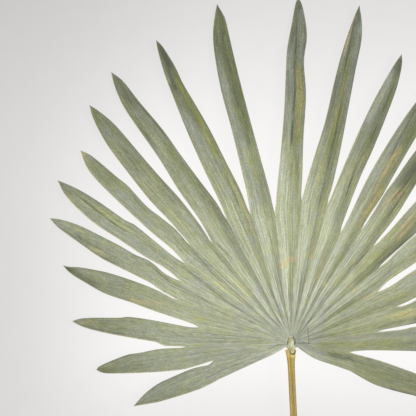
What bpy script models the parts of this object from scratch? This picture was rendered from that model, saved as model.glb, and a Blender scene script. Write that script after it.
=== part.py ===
"""A pleated fan palm leaf on its stem, lying face up.

Twenty-two folded segments spread from one hub. They are joined round the hub
and end in free tips. A plug at the hub sits in the cup at the head of the stem.

Points of the outline are millimetres in the plane of the leaf. The stem's axis
meets the lower edge of the blade at (0, 0), the stem runs towards -y and the
middle segments point towards +y. Heights are millimetres over the ground.
"""

import math
from collections import namedtuple
from itertools import pairwise

import bmesh
import bpy
import numpy as np
from mathutils import Matrix, Vector

MM = 0.001
CLEARANCE = 0.3

# The blade
BLADE_THICKNESS = 0.8
HUB = (0.2, 2.0)
HUB_HEIGHT = 17.0
REACH = 347.0
FULL_FOLD_SLOPE = 0.47
TIP_FOLD_SLOPE = 0.20
FOLD_START = 9.0
FOLD_FULL = 36.0
OWN_FOLD_FULL = 60.0
PANEL_CROWN = 0.10
JOINED_ROWS = 9
HUB_CROWDING = 1.3
FREE_ROWS = 14
TIP_CROWDING = 1.25
COLUMNS = 4
CURVE_STEPS = 12

# The notch of the blade that holds the plug: half an ellipse with straight sides below it
NOTCH_HALF_WIDTH = 4.6
NOTCH_HALF_LENGTH = 7.2
NOTCH_HALF_ANGLE = math.radians(122)

# The plug
TONGUE_FLATNESS = 0.55
TONGUE_BLUNTNESS = 0.06
SPIGOT_START_Y = -1.0
SPIGOT_END_Y = -14.7
SPIGOT_EASE = 0.35
FLANGE_RADIUS = 6.6
FLANGE_THICKNESS = 1.0
PLUG_SIDES = 24

# The stem
STEM_AXIS_DROP = 1.2
STEM_MOUTH_Y = -4.4
STEM_END_Y = -432.0
STEM_STRAIGHT_TO_Y = -13.0
STEM_LEAN = 0.05
STEM_BEND_LENGTH = 6.0
STEM_RADIUS = 3.25
STEM_FLATNESS = 0.92
STEM_GROOVE = 0.13
STEM_GROOVE_DEGREES = 22
STEM_GROOVE_START_Y = -12.4
STEM_GROOVE_FULL_Y = -34.4
STEM_SIDES = 24
CUP_FLARE = 1.95
CUP_FLARE_LENGTH = 8.0
END_CHAMFER = 0.5
BORE_END_Y = -15.0
BORE_MOUTH_RADIUS = 3.9
BORE_END_RADIUS = 2.5
FRONT_NOTCH_X = 1.6
FRONT_NOTCH_RADIUS = 2.5
FRONT_NOTCH_END_Y = -9.7
FRONT_NOTCH_SIDES = 12

# A segment's edges run from the splits beside it to its tip: near is the edge
# towards the segment before it, going clockwise from the lower left. rise is
# the height of the tip's underside over the ground, and fold the depth of the
# crease, as a share of the full one.
Segment = namedtuple("Segment", "tip near far rise fold")

SEGMENTS = (
    Segment(
        (-157.5, -61.5),
        ((-83, -40), (-97.3, -46), (-129, -56), (-145, -59.3)),
        ((-82.5, -19.6), (-91, -21.3), (-101, -24.2), (-111, -28.4), (-121, -32.8), (-132, -38),
         (-142.4, -45.4), (-150.4, -53)),
        1.2, 0.45,
    ),
    Segment(
        (-194.8, -25),
        ((-86, -17.8), (-96, -21), (-106, -23.8), (-116, -25.2), (-141, -27.3), (-174, -28.5), (-186, -28.3),
         (-191, -27)),
        ((-131, -3.7), (-151, -7.6), (-163, -9.5), (-176, -14.3), (-191, -21)),
        2.6, 0.40,
    ),
    Segment(
        (-219, 23.7),
        ((-127, -0.5), (-135, 3), (-151, 5.8), (-181, 11.2), (-201, 15.8), (-213, 20.2)),
        ((-104, 18.5), (-131, 23.7), (-151, 27), (-163.5, 28.3), (-171, 27.4), (-201, 27.2), (-212, 26)),
        3.8, 0.40,
    ),
    Segment(
        (-228.3, 79.7),
        ((-111, 25.8), (-136, 34), (-161, 43), (-186, 51.5), (-206, 62.5), (-221, 72)),
        ((-134, 55), (-154, 63), (-181, 71.8), (-201, 76), (-213, 77.8), (-223, 78.2)),
        1.8, 0.50,
    ),
    Segment(
        (-241.5, 126.7),
        ((-131, 55.3), (-141, 62.3), (-171, 77.3), (-191, 87.6), (-216, 105), (-233, 117.5)),
        ((-126, 71.5), (-141, 83), (-156, 90.5), (-171, 99.2), (-191, 109.5), (-213, 120), (-231, 125.5)),
        0.0, 0.60,
    ),
    Segment(
        (-233.6, 164.7),
        ((-126, 77), (-146, 89.5), (-171, 105), (-196, 121.7), (-213, 137), (-226, 151)),
        ((-121, 91.5), (-141, 108), (-158, 121.5), (-166, 125), (-191, 142.5), (-211, 154.7), (-225, 161.3)),
        3.2, 0.70,
    ),
    Segment(
        (-210.7, 194.7),
        ((-121, 97.7), (-141, 114.7), (-171, 143), (-191, 162), (-201, 174.7), (-207, 185)),
        ((-116, 115), (-131, 128.5), (-144, 138.5), (-163, 159), (-174, 168), (-191, 182.5), (-201, 190.2)),
        2.2, 0.70,
    ),
    Segment(
        (-201.7, 240),
        ((-121, 125.3), (-141, 145), (-161, 169.7), (-181, 197.5), (-191, 214.5), (-198, 229)),
        ((-91, 120), (-111, 146), (-131, 168), (-151, 191.2), (-171, 214.7), (-181, 225), (-193, 234.6)),
        4.2, 0.75,
    ),
    Segment(
        (-179.8, 273),
        ((-91, 124.5), (-111, 154.5), (-131, 185), (-151, 214.7), (-166, 237.5), (-175, 255), (-178.7, 267)),
        ((-74, 141.5), (-91, 164), (-111, 191), (-128, 215), (-151, 242.5), (-166, 261.7), (-172, 267.5)),
        1.6, 0.85,
    ),
    Segment(
        (-135, 305),
        ((-73, 148.5), (-86, 174.5), (-101, 208), (-115, 241), (-126, 269.5), (-133, 294)),
        ((-51, 155.5), (-64, 181), (-81, 215), (-95, 239.5), (-108, 261.5), (-116, 278.5), (-128, 298)),
        5.0, 1.15,
    ),
    Segment(
        (-74, 341.3),
        ((-45, 155), (-51, 185), (-59, 216), (-70, 255), (-76, 288), (-78, 310), (-76.5, 328)),
        ((-20.5, 150), (-30, 185), (-41, 225.5), (-53, 272), (-61, 306), (-65.5, 325.5), (-68.5, 332)),
        2.0, 0.95,
    ),
    Segment(
        (7, 348),
        ((-13.5, 160), (-10, 195), (-7.5, 235), (-5, 275), (-3.8, 296), (0.8, 321), (4.3, 340)),
        ((11.5, 171), (13, 205), (15, 250), (13, 283), (16, 307), (14.5, 325), (11, 341)),
        0.0, 1.0,
    ),
    Segment(
        (68.6, 340),
        ((16, 165), (25, 194), (34.5, 225), (42.5, 260), (49.5, 287), (57, 311), (64, 330)),
        ((42, 162), (50.5, 201), (57, 235), (65, 277), (70.3, 303), (71, 322)),
        3.0, 1.0,
    ),
    Segment(
        (110.7, 291),
        ((47, 165), (61, 198), (78, 235), (93, 263), (104, 281.5)),
        ((53, 126), (68, 165), (82, 198), (97, 233), (106, 258), (111, 280)),
        5.5, 1.0,
    ),
    Segment(
        (166, 289),
        ((58, 128), (75, 164), (94, 197), (114, 228), (136, 257), (154, 279)),
        ((79, 131), (99, 164), (115, 191), (133, 221), (151, 250), (162, 273)),
        2.0, 0.95,
    ),
    Segment(
        (190, 262),
        ((85, 137), (105, 167), (125, 195), (150, 223), (173, 247)),
        ((95, 116), (107, 132), (125, 161), (145, 192), (165, 223), (181, 247)),
        4.0, 0.90,
    ),
    Segment(
        (214, 213),
        ((101, 117), (125, 144), (150, 170), (176, 194), (198, 209)),
        ((99, 89), (117, 105), (125, 112), (150, 137), (178, 167), (200, 194)),
        1.5, 0.80,
    ),
    Segment(
        (230, 173),
        ((112, 99.5), (125, 110.5), (155, 133), (190, 156), (214, 169)),
        ((98, 65), (125, 83), (155, 105), (188, 133), (213, 156)),
        0.0, 0.70,
    ),
    Segment(
        (241.6, 113),
        ((101, 60), (125, 76), (160, 94), (198, 108), (225, 114)),
        ((113, 42), (125, 48), (160, 63), (198, 82), (226, 101)),
        2.6, 0.60,
    ),
    Segment(
        (235, 55),
        ((125, 45), (155, 56), (190, 63), (217, 62)),
        ((97, 16.5), (125, 22), (155, 29), (190, 38), (218, 48)),
        1.6, 0.50,
    ),
    Segment(
        (215.5, 1),
        ((111, 15.7), (125, 18.5), (155, 20), (185, 16), (205, 8.5)),
        ((81, -5), (125, -6), (160, -8.5), (190, -7), (207, -3)),
        3.0, 0.45,
    ),
    Segment(
        (178, -65),
        ((71, -10.5), (89, -15.5), (109, -22.5), (125, -28.5), (148, -39), (166, -51)),
        ((83, -39), (109, -47), (125, -51), (145, -58), (163, -63)),
        1.2, 0.45,
    ),
)

# Where neighbours part. The first and last points lie on the outer margins, at
# the height of the splits.
SPLITS = (
    (-69.7, -32.8), (-77.5, -15.3), (-105.3, -1.7), (-92, 18), (-114, 45), (-110.6, 64),
    (-106.4, 82), (-100, 99), (-78.4, 101), (-64.5, 125.5), (-41, 131), (-16.5, 132),
    (10.3, 144.5), (36, 140), (49, 112), (70, 115), (82, 99), (87, 77),
    (86, 53), (105, 39), (86, 13.5), (58, -6.7), (59, -25.7),
)

# Places between the notch and the first and last split, where the outer margins bow
MARGINS = {
    0: ((-16, -8), (-36, -17.2)),
    22: ((9, -4.2), (19, -10.8), (29, -15.5), (43, -20)),
}


def smoothstep(start, end, value):
    share = min(1.0, max(0.0, (value - start) / (end - start)))
    return share * share * (3 - 2 * share)


def distance_from_hub(point):
    return math.hypot(point[0] - HUB[0], point[1] - HUB[1])


def spaced_along(points, shares):
    """Places at the given shares of the length of a smooth curve through the points."""
    padded = [2 * Vector(points[0]) - Vector(points[1])]
    padded += [Vector(p) for p in points]
    padded.append(2 * padded[-1] - padded[-2])
    dense = []
    for a, b, c, d in zip(padded, padded[1:], padded[2:], padded[3:]):
        for step in range(CURVE_STEPS):
            t = step / CURVE_STEPS
            dense.append(
                b
                + (c - a) * (t / 2)
                + (2 * a - 5 * b + 4 * c - d) * (t * t / 2)
                + (3 * b - a - 3 * c + d) * (t * t * t / 2)
            )
    dense.append(padded[-2])
    lengths = np.cumsum([0.0] + [(b - a).length for a, b in pairwise(dense)])
    places = np.array(shares) * lengths[-1]
    return list(zip(*(np.interp(places, lengths, [p[axis] for p in dense]) for axis in (0, 1))))


def notch_point(index):
    """The start of a ridge, on the rim of the notch that holds the plug."""
    angle = NOTCH_HALF_ANGLE * (2 * index / len(SEGMENTS) - 1)
    sideways = math.sin(min(math.pi / 2, max(-math.pi / 2, angle)))
    return (
        HUB[0] + NOTCH_HALF_WIDTH * sideways,
        HUB[1] + NOTCH_HALF_LENGTH * math.cos(angle),
    )


def ridge(index):
    """The ridge from the notch to a split, with its places closer together near the hub."""
    shares = [(row / JOINED_ROWS) ** HUB_CROWDING for row in range(JOINED_ROWS + 1)]
    return spaced_along([notch_point(index), *MARGINS.get(index, ()), SPLITS[index]], shares)


def free_edge(split, points, tip):
    """An edge from its split to the tip, with its places closer together near the tip."""
    shares = [1 - (1 - row / FREE_ROWS) ** TIP_CROWDING for row in range(1, FREE_ROWS + 1)]
    return spaced_along([split, *points, tip], shares)


def dome(point):
    """The height of the ridges, over the ground."""
    return HUB_HEIGHT * (1 - (distance_from_hub(point) / REACH) ** 2)


def fold_slope(radius, share_free, fold):
    """How steeply a panel falls from its ridge to its crease."""
    slope = FULL_FOLD_SLOPE * smoothstep(FOLD_START, FOLD_FULL, radius)
    depth = 1 + (fold - 1) * smoothstep(0, OWN_FOLD_FULL, radius)
    return depth * (slope + (TIP_FOLD_SLOPE - FULL_FOLD_SLOPE) * math.sqrt(share_free))


def segment_rows(index):
    """Rows of points across one segment, from the notch to the tip."""
    segment = SEGMENTS[index]
    near = ridge(index) + free_edge(SPLITS[index], segment.near, segment.tip)
    far = ridge(index + 1) + free_edge(SPLITS[index + 1], segment.far, segment.tip)
    droop = segment.rise + BLADE_THICKNESS - dome(segment.tip)
    rows = []
    for row, (left, right) in enumerate(zip(near, far)):
        share_free = max(0.0, (row - JOINED_ROWS) / FREE_ROWS)
        half_width = math.dist(left, right) / 2
        middle = ((left[0] + right[0]) / 2, (left[1] + right[1]) / 2)
        slope = fold_slope(distance_from_hub(middle), share_free, segment.fold)
        places = []
        for column in range(COLUMNS + 1):
            across = column / COLUMNS
            x = left[0] + (right[0] - left[0]) * across
            y = left[1] + (right[1] - left[1]) * across
            inwards = 1 - abs(2 * across - 1)
            crown = PANEL_CROWN * math.sin(math.pi * inwards)
            sunk = slope * half_width * (inwards - crown)
            places.append((x, y, dome((x, y)) + droop * share_free**2 - sunk))
        rows.append(places)
    return rows


def new_object(name, mesh, collection, material):
    thing = bpy.data.objects.new(name, mesh)
    thing.data.materials.append(material)
    collection.objects.link(thing)
    return thing


def mesh_from(name, bm):
    mesh = bpy.data.meshes.new(name)
    bm.transform(Matrix.Scale(MM, 4))
    bm.to_mesh(mesh)
    bm.free()
    return mesh


def make_blade(collection, material):
    """The pleated sheet, split the same way on both faces by triangulating before it is thickened."""
    bm = bmesh.new()
    for index in range(len(SEGMENTS)):
        rows = [[bm.verts.new(place) for place in row] for row in segment_rows(index)]
        for inner, outer in pairwise(rows):
            for column in range(COLUMNS):
                bm.faces.new((inner[column], inner[column + 1], outer[column + 1], outer[column]))
    bmesh.ops.remove_doubles(bm, verts=bm.verts, dist=0.001)
    blade = new_object("leaf_blade", mesh_from("leaf_blade", bm), collection, material)
    blade.modifiers.new("Triangulate", "TRIANGULATE")
    solidify = blade.modifiers.new("Solidify", "SOLIDIFY")
    solidify.thickness = BLADE_THICKNESS * MM
    solidify.offset = -1
    return blade


def loft(name, rings):
    """A closed skin over rings that all have the same number of points."""
    bm = bmesh.new()
    rows = [[bm.verts.new(place) for place in ring] for ring in rings]
    for a, b in pairwise(rows):
        for i in range(len(a)):
            j = (i + 1) % len(a)
            bm.faces.new((a[i], a[j], b[j], b[i]))
    bm.faces.new(reversed(rows[0]))
    bm.faces.new(rows[-1])
    bmesh.ops.recalc_face_normals(bm, faces=bm.faces)
    return mesh_from(name, bm)


def stem_axis(y):
    """Where the middle of the stem is: straight through the cup, then leaning and sinking to the ground."""
    top = HUB_HEIGHT - STEM_AXIS_DROP
    past = max(0.0, STEM_STRAIGHT_TO_Y - y)
    bend = past * past / (past + STEM_BEND_LENGTH)
    whole = STEM_STRAIGHT_TO_Y - STEM_END_Y
    end_bend = whole * whole / (whole + STEM_BEND_LENGTH)
    sink = (top - STEM_RADIUS * STEM_FLATNESS) / end_bend
    return HUB[0] + STEM_LEAN * bend, top - sink * bend


def stem_ring(y, inset=0.0):
    """A section of the stem, with a shallow groove along its front."""
    x, z = stem_axis(y)
    flare = CUP_FLARE * math.exp(-(((STEM_MOUTH_Y - y) / CUP_FLARE_LENGTH) ** 1.5))
    radius = STEM_RADIUS + flare - inset
    groove = STEM_GROOVE * smoothstep(STEM_GROOVE_START_Y, STEM_GROOVE_FULL_Y, y)
    ring = []
    for side in range(STEM_SIDES):
        angle = 2 * math.pi * side / STEM_SIDES
        from_front = math.degrees(math.acos(math.sin(angle)))
        dip = 1 - groove * math.exp(-((from_front / STEM_GROOVE_DEGREES) ** 2))
        ring.append((
            x + radius * dip * math.cos(angle),
            y,
            z + radius * dip * STEM_FLATNESS * math.sin(angle),
        ))
    return ring


def add_boolean(name, mesh, collection, owner, operation):
    """Cut a shape out of its owner, or join it to its owner."""
    tool = bpy.data.objects.new(name, mesh)
    tool.hide_render = True
    tool.display_type = "WIRE"
    collection.objects.link(tool)
    boolean = owner.modifiers.new(name, "BOOLEAN")
    boolean.operation = operation
    boolean.object = tool


def bore_radius(y):
    share = (STEM_MOUTH_Y - y) / (STEM_MOUTH_Y - BORE_END_Y)
    return BORE_MOUTH_RADIUS + (BORE_END_RADIUS - BORE_MOUTH_RADIUS) * share


def bore_cutter():
    x, z = stem_axis(STEM_MOUTH_Y)
    rings = []
    for y in (STEM_MOUTH_Y + 3, BORE_END_Y):
        turn = [2 * math.pi * side / STEM_SIDES for side in range(STEM_SIDES)]
        rings.append([(x + bore_radius(y) * math.cos(a), y, z + bore_radius(y) * math.sin(a)) for a in turn])
    return loft("bore_cutter", rings)


def front_notch_cutter():
    """A round-ended slot through the front wall of the cup."""
    x, z = stem_axis(STEM_MOUTH_Y)
    x += FRONT_NOTCH_X - HUB[0]
    centre_y = FRONT_NOTCH_END_Y + FRONT_NOTCH_RADIUS
    outline = [(x + FRONT_NOTCH_RADIUS, STEM_MOUTH_Y + 4), (x - FRONT_NOTCH_RADIUS, STEM_MOUTH_Y + 4)]
    for angle in np.linspace(math.pi, 2 * math.pi, FRONT_NOTCH_SIDES + 1):
        outline.append((
            x + FRONT_NOTCH_RADIUS * math.cos(angle),
            centre_y + FRONT_NOTCH_RADIUS * math.sin(angle),
        ))
    levels = (z + 1, z + 2 * STEM_RADIUS + CUP_FLARE)
    return loft("front_notch_cutter", [[(px, py, level) for px, py in outline] for level in levels])


def make_stem(collection, cutters, material):
    cup = np.linspace(STEM_MOUTH_Y - END_CHAMFER, BORE_END_Y, 8)
    shank = np.linspace(0, 1, 22)[1:] ** 1.5 * (STEM_END_Y + END_CHAMFER - cup[-1]) + cup[-1]
    rings = [stem_ring(STEM_MOUTH_Y, END_CHAMFER)]
    rings += [stem_ring(y) for y in (*cup, *shank)]
    rings.append(stem_ring(STEM_END_Y, END_CHAMFER))
    stem = new_object("stem", loft("stem", rings), collection, material)
    add_boolean("bore_cutter", bore_cutter(), cutters, stem, "DIFFERENCE")
    add_boolean("front_notch_cutter", front_notch_cutter(), cutters, stem, "DIFFERENCE")
    return stem


def plug_ring(y):
    """A section of the plug: a tongue in the notch of the blade, then a round spigot in the stem."""
    x, z = stem_axis(STEM_MOUTH_Y)
    spigot = smoothstep(SPIGOT_START_Y, STEM_MOUTH_Y - 1, y)
    from_middle = max(0.0, y - HUB[1]) / (NOTCH_HALF_LENGTH - CLEARANCE)
    roundness = max(TONGUE_BLUNTNESS, math.sqrt(max(0, 1 - from_middle**2)))
    tongue_width = (NOTCH_HALF_WIDTH - CLEARANCE) * roundness
    round_radius = bore_radius(min(y, STEM_MOUTH_Y)) - SPIGOT_EASE
    half_width = tongue_width + (round_radius - tongue_width) * spigot
    tongue_height = tongue_width * TONGUE_FLATNESS
    half_height = tongue_height + (round_radius - tongue_height) * spigot
    ring = []
    for side in range(PLUG_SIDES):
        angle = 2 * math.pi * side / PLUG_SIDES
        ring.append((x + half_width * math.cos(angle), y, z + half_height * math.sin(angle)))
    return ring


def flange():
    """A thin disc under the blade, round the notch, which carries the blade."""
    top = HUB_HEIGHT - BLADE_THICKNESS - CLEARANCE
    rings = []
    for height in (top, top - FLANGE_THICKNESS):
        turn = [2 * math.pi * side / PLUG_SIDES for side in range(PLUG_SIDES)]
        circle = [(FLANGE_RADIUS * math.cos(a), FLANGE_RADIUS * math.sin(a)) for a in turn]
        rings.append([(HUB[0] + x, HUB[1] + y, height) for x, y in circle])
    return loft("flange", rings)


def make_plug(collection, cutters, material):
    """The tongue and spigot, joined to the flange under the blade."""
    tip_y = HUB[1] + NOTCH_HALF_LENGTH - CLEARANCE
    tongue = tip_y - (tip_y - STEM_MOUTH_Y) * np.linspace(0, 1, 11) ** 1.6
    spigot = np.linspace(STEM_MOUTH_Y - 1, SPIGOT_END_Y, 6)
    skin = loft("hub_plug", [plug_ring(y) for y in (*tongue, *spigot)])
    plug = new_object("hub_plug", skin, collection, material)
    add_boolean("flange", flange(), cutters, plug, "UNION")
    return plug


def make_material(name, colour, roughness):
    material = bpy.data.materials.new(name)
    material.use_nodes = True
    shader = material.node_tree.nodes["Principled BSDF"]
    shader.inputs["Base Color"].default_value = (*colour, 1)
    shader.inputs["Roughness"].default_value = roughness
    shader.inputs["Metallic"].default_value = 0
    material.diffuse_color = (*colour, 1)
    return material


def world_corners(things):
    """The lowest and highest corner of the finished shapes."""
    graph = bpy.context.evaluated_depsgraph_get()
    points = []
    for thing in things:
        evaluated = thing.evaluated_get(graph)
        mesh = evaluated.to_mesh()
        points += [evaluated.matrix_world @ vertex.co for vertex in mesh.vertices]
        evaluated.to_mesh_clear()
    points = np.array(points)
    return points.min(axis=0), points.max(axis=0)


def main():
    for thing in list(bpy.data.objects):
        bpy.data.objects.remove(thing)
    leaf = bpy.data.collections.new("fan_palm_leaf")
    cutters = bpy.data.collections.new("cutters")
    for collection in (leaf, cutters):
        bpy.context.scene.collection.children.link(collection)

    pieces = [
        make_blade(leaf, make_material("sage_blade", (0.30, 0.34, 0.22), 0.75)),
        make_plug(leaf, cutters, make_material("pale_plug", (0.55, 0.58, 0.33), 0.5)),
        make_stem(leaf, cutters, make_material("mustard_stem", (0.46, 0.34, 0.09), 0.5)),
    ]

    # Everything hangs on one empty, which puts the middle of the base at the world's origin.
    rest = bpy.data.objects.new("rest", None)
    leaf.objects.link(rest)
    for thing in (*pieces, *cutters.objects):
        thing.parent = rest
    bpy.context.view_layer.update()
    low, high = world_corners(pieces)
    rest.location = (-(low[0] + high[0]) / 2, -(low[1] + high[1]) / 2, -low[2])


main()
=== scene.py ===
"""How the fan palm leaf looks: a finely pleated blade, the plug at its hub and its stem.

Places on the leaf are millimetres in its own plane, as in the CAD source: the
stem's axis meets the lower edge of the blade at (0, 0), the stem runs towards
-y and the middle segments point towards +y.
"""

import math
from collections import namedtuple
from itertools import pairwise

import bmesh
import bpy
import numpy as np
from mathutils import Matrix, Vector

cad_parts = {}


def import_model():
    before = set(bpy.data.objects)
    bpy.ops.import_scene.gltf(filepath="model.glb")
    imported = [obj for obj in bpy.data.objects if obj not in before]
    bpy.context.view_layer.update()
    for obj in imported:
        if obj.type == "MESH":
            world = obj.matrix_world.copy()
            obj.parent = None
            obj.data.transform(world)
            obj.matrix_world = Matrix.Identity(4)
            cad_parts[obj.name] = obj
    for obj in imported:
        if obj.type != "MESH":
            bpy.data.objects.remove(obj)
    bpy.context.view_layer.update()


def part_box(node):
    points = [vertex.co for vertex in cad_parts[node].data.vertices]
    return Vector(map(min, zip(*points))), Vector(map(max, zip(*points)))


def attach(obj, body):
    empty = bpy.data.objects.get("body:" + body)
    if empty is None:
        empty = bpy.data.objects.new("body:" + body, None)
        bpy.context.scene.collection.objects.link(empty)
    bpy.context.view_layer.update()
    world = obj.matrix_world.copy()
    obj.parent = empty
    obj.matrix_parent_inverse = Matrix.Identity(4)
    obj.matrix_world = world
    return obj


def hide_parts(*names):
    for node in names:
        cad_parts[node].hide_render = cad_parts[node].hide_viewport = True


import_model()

MM = 0.001

# The blade, with the numbers of the CAD source
BLADE_THICKNESS = 0.8
HUB = (0.2, 2.0)
HUB_HEIGHT = 17.0
REACH = 347.0
FULL_FOLD_SLOPE = 0.47
TIP_FOLD_SLOPE = 0.20
FOLD_START = 9.0
FOLD_FULL = 32.0
OWN_FOLD_START = 10.0
OWN_FOLD_FULL = 75.0
CURVE_STEPS = 12
NOTCH_MIDDLE = (-0.1, 2.0)
NOTCH_HALF_WIDTH = 3.85
NOTCH_HALF_LENGTH = 7.2
NOTCH_HALF_ANGLE = math.radians(109)
TOP_Y = 348.0

# How finely the blade is divided here
JOINED_ROWS = 26
HUB_CROWDING = 1.3
FREE_ROWS = 34
TIP_CROWDING = 1.25
HALF_COLUMNS = 18
CREASE_ROUNDING = 0.35
RIDGE_ROUNDING = 0.2
SEGMENT_PITCH = 60.0
FOLD_OPENS = (0.1, 0.6)
SLIT_EASE = 0.4
SLIT_EASE_PLACE = 5.0

# One segment: its tip, how far that stands above the floor, how deep its fold
# is, where its crease runs across it as a share of its width, and the points of
# its near and far edges between the splits and the tip
Segment = namedtuple("Segment", "tip rise fold crease near far")

SEGMENTS = tuple(Segment(*row) for row in (
    ((-157.5, -61.5), 1.2, 0.3, 0.5,
     ((-83, -40), (-97.3, -46), (-129, -56), (-145, -59.3)),
     ((-82.5, -19.6), (-91, -21.3), (-101, -24.2), (-111, -28.4), (-121, -32.8), (-132, -38),
      (-142.4, -45.4), (-150.4, -53))),
    ((-194.8, -25), 2.6, 0.3, 0.5,
     ((-86, -17.8), (-96, -21), (-106, -23.8), (-116, -25.2), (-141, -27.3), (-174, -28.5), (-186, -28.3),
      (-191, -27)),
     ((-131, -3.7), (-151, -7.6), (-163, -9.5), (-176, -14.3), (-191, -21))),
    ((-219, 23.7), 3.8, 0.3, 0.5,
     ((-127, -0.5), (-135, 3), (-151, 5.8), (-181, 11.2), (-201, 15.8), (-213, 20.2)),
     ((-104, 18.5), (-131, 23.7), (-151, 27), (-163.5, 28.3), (-171, 27.4), (-201, 27.2), (-212, 26))),
    ((-228.3, 79.7), 1.8, 0.34, 0.5,
     ((-98, 21.4), (-111, 25.8), (-136, 34), (-161, 43), (-186, 51.5), (-206, 62.5), (-221, 72)),
     ((-134, 55), (-154, 63), (-181, 71.8), (-201, 76), (-213, 77.8), (-223, 78.2))),
    ((-241.5, 126.7), 0, 0.36, 0.5,
     ((-131, 55.3), (-141, 62.3), (-171, 77.3), (-191, 87.6), (-216, 105), (-233, 117.5)),
     ((-126, 71.5), (-140.6, 83.7), (-156, 90.5), (-171, 99.2), (-191, 109.5), (-213, 120), (-231, 125.5))),
    ((-233.6, 164.7), 3.2, 0.38, 0.5,
     ((-126, 77), (-146.6, 88.7), (-171, 105), (-196.2, 121.4), (-213.4, 136.4), (-226.3, 150.5)),
     ((-121, 91.5), (-141, 108), (-158, 121.5), (-166, 125), (-191, 142.5), (-211, 154.7), (-225, 161.3))),
    ((-210.7, 194.7), 2.2, 0.42, 0.5,
     ((-121, 97.7), (-141.3, 114.4), (-171.6, 142.3), (-191.3, 161.6), (-201.8, 173.9), (-207.4, 184.6)),
     ((-115.3, 115.7), (-131, 128.5), (-144, 138.5), (-163, 159), (-174, 168), (-191, 182.5),
      (-201, 190.2))),
    ((-201.7, 240), 4.2, 0.52, 0.5,
     ((-121.9, 124.5), (-141.2, 144.8), (-161, 169.7), (-181.6, 197), (-191.8, 213.9), (-198.6, 228.5)),
     ((-91, 120), (-111, 146), (-131, 168), (-151, 191.2), (-171, 214.7), (-181, 225), (-193, 234.6))),
    ((-179.8, 273), 1.6, 0.55, 0.5,
     ((-91, 124.5), (-111.8, 153.9), (-131, 185), (-151.4, 214.4), (-166.7, 237.1), (-175, 255),
      (-178.7, 267)),
     ((-74, 141.5), (-91, 164), (-111, 191), (-128, 215), (-151, 242.5), (-166, 261.7), (-172, 267.5))),
    ((-135, 305), 5, 0.52, 0.5,
     ((-73.8, 148.1), (-86.5, 174.3), (-101.5, 207.8), (-115, 241), (-126, 269.5), (-133, 294)),
     ((-51, 155.5), (-64, 181), (-81, 215), (-95, 239.5), (-108, 261.5), (-116, 278.5), (-128, 298))),
    ((-74, 341.3), 2, 0.46, 0.5,
     ((-45, 155), (-51.9, 184.8), (-59.5, 215.9), (-70, 255), (-76, 288), (-78, 310), (-76.5, 328)),
     ((-20.5, 150), (-30, 185), (-41, 225.5), (-53, 272), (-61, 306), (-65.5, 325.5), (-68.5, 332))),
    ((7, 348), 0, 0.46, 0.5,
     ((-13.5, 160), (-10, 195), (-6.8, 235), (-5, 275), (-3.8, 296), (0.8, 321), (4.3, 340)),
     ((11.3, 171), (12.3, 205), (15, 250), (13, 283), (16, 307), (14.5, 325), (11, 341))),
    ((68.6, 340), 3, 0.48, 0.32,
     ((16, 165), (25, 194), (34.5, 225), (42.5, 260), (49.5, 287), (57, 311), (64, 330)),
     ((42, 162), (50.5, 201), (57, 235), (65, 277), (70.3, 303), (71, 322))),
    ((110.7, 291), 5.5, 0.42, 0.58,
     ((47, 165), (61, 198), (78, 235), (93, 263), (104, 281.5)),
     ((53, 126), (68, 165), (82.7, 197.7), (97, 233), (106, 258), (111, 280))),
    ((166, 289), 2, 0.46, 0.5,
     ((58, 128), (75, 164), (94, 197), (114, 228), (136, 257), (154, 279)),
     ((79, 131), (89.8, 147), (99.3, 163.8), (115, 191), (133, 221), (151, 250), (162, 273))),
    ((190, 262), 4, 0.6, 0.5,
     ((85, 137), (94.2, 152.6), (105, 167), (125, 195), (150, 223), (173, 247)),
     ((95, 116), (107, 132), (125, 161), (145, 192), (165, 223), (181, 247))),
    ((214, 213), 1.5, 0.58, 0.5,
     ((87.3, 102.9), (92, 107.7), (101, 117), (125, 144), (150, 170), (176, 194), (198, 209)),
     ((99, 89), (117, 105), (125, 112), (150, 137), (178, 167), (200, 194))),
    ((230, 173), 0, 0.58, 0.5,
     ((95.8, 83.5), (103.5, 91.4), (112, 99.5), (125, 110.5), (155, 133), (190, 156), (214, 169)),
     ((98, 65), (125, 83), (155, 105), (188, 133), (213, 156))),
    ((241.6, 113), 2.6, 0.52, 0.5,
     ((101, 60), (125, 76), (160, 94), (198, 108), (225, 114)),
     ((113, 42), (125, 48), (160, 63), (198, 82), (226, 101))),
    ((235, 55), 1.6, 0.34, 0.5,
     ((109.4, 38.7), (118.7, 41.6), (125, 45), (155, 56), (190, 63), (217, 62)),
     ((97, 16.5), (125, 22), (155, 29), (190, 38), (218, 48))),
    ((215.5, 1), 3, 0.3, 0.5,
     ((111, 15.7), (125, 18.5), (155, 20), (185, 16), (205, 8.5)),
     ((81, -5), (125, -6), (160, -8.5), (190, -7), (207, -3))),
    ((178, -65), 1.2, 0.26, 0.5,
     ((71, -10.5), (89, -15.5), (109, -22.5), (125, -28.5), (148, -39), (166, -51)),
     ((83, -39), (109, -47), (125, -51), (145, -58), (163, -63))),
))

SPLITS = (
    (-69.7, -32.8), (-77.5, -15.3), (-105.3, -1.7), (-92, 18), (-114, 45), (-110.6, 64),
    (-106.4, 82), (-100, 99), (-78.4, 101), (-64.5, 125.5), (-41, 131), (-16.5, 132),
    (10.3, 144.5), (36, 140), (49, 112), (70, 115), (82, 99), (87, 77),
    (86, 53), (105, 39), (86, 13.5), (58, -6.7), (59, -25.7),
)

MARGINS = {
    0: ((-16, -8), (-36, -17.2)),
    22: ((6, -1.6), (9, -3.9), (19, -10.8), (29, -15.5), (43, -20)),
}

# One pleat of the joined part: how steeply it falls (below 0) or climbs at
# places from one ridge to the next
PLEAT_STEEPNESS = (
    (0.0, -0.9), (0.12, -1.0), (0.38, -1.0), (0.54, 0.5), (0.68, 1.0), (0.84, 1.0), (1.0, -0.9),
)
PLEAT_STEEPEST = 0.77

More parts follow.
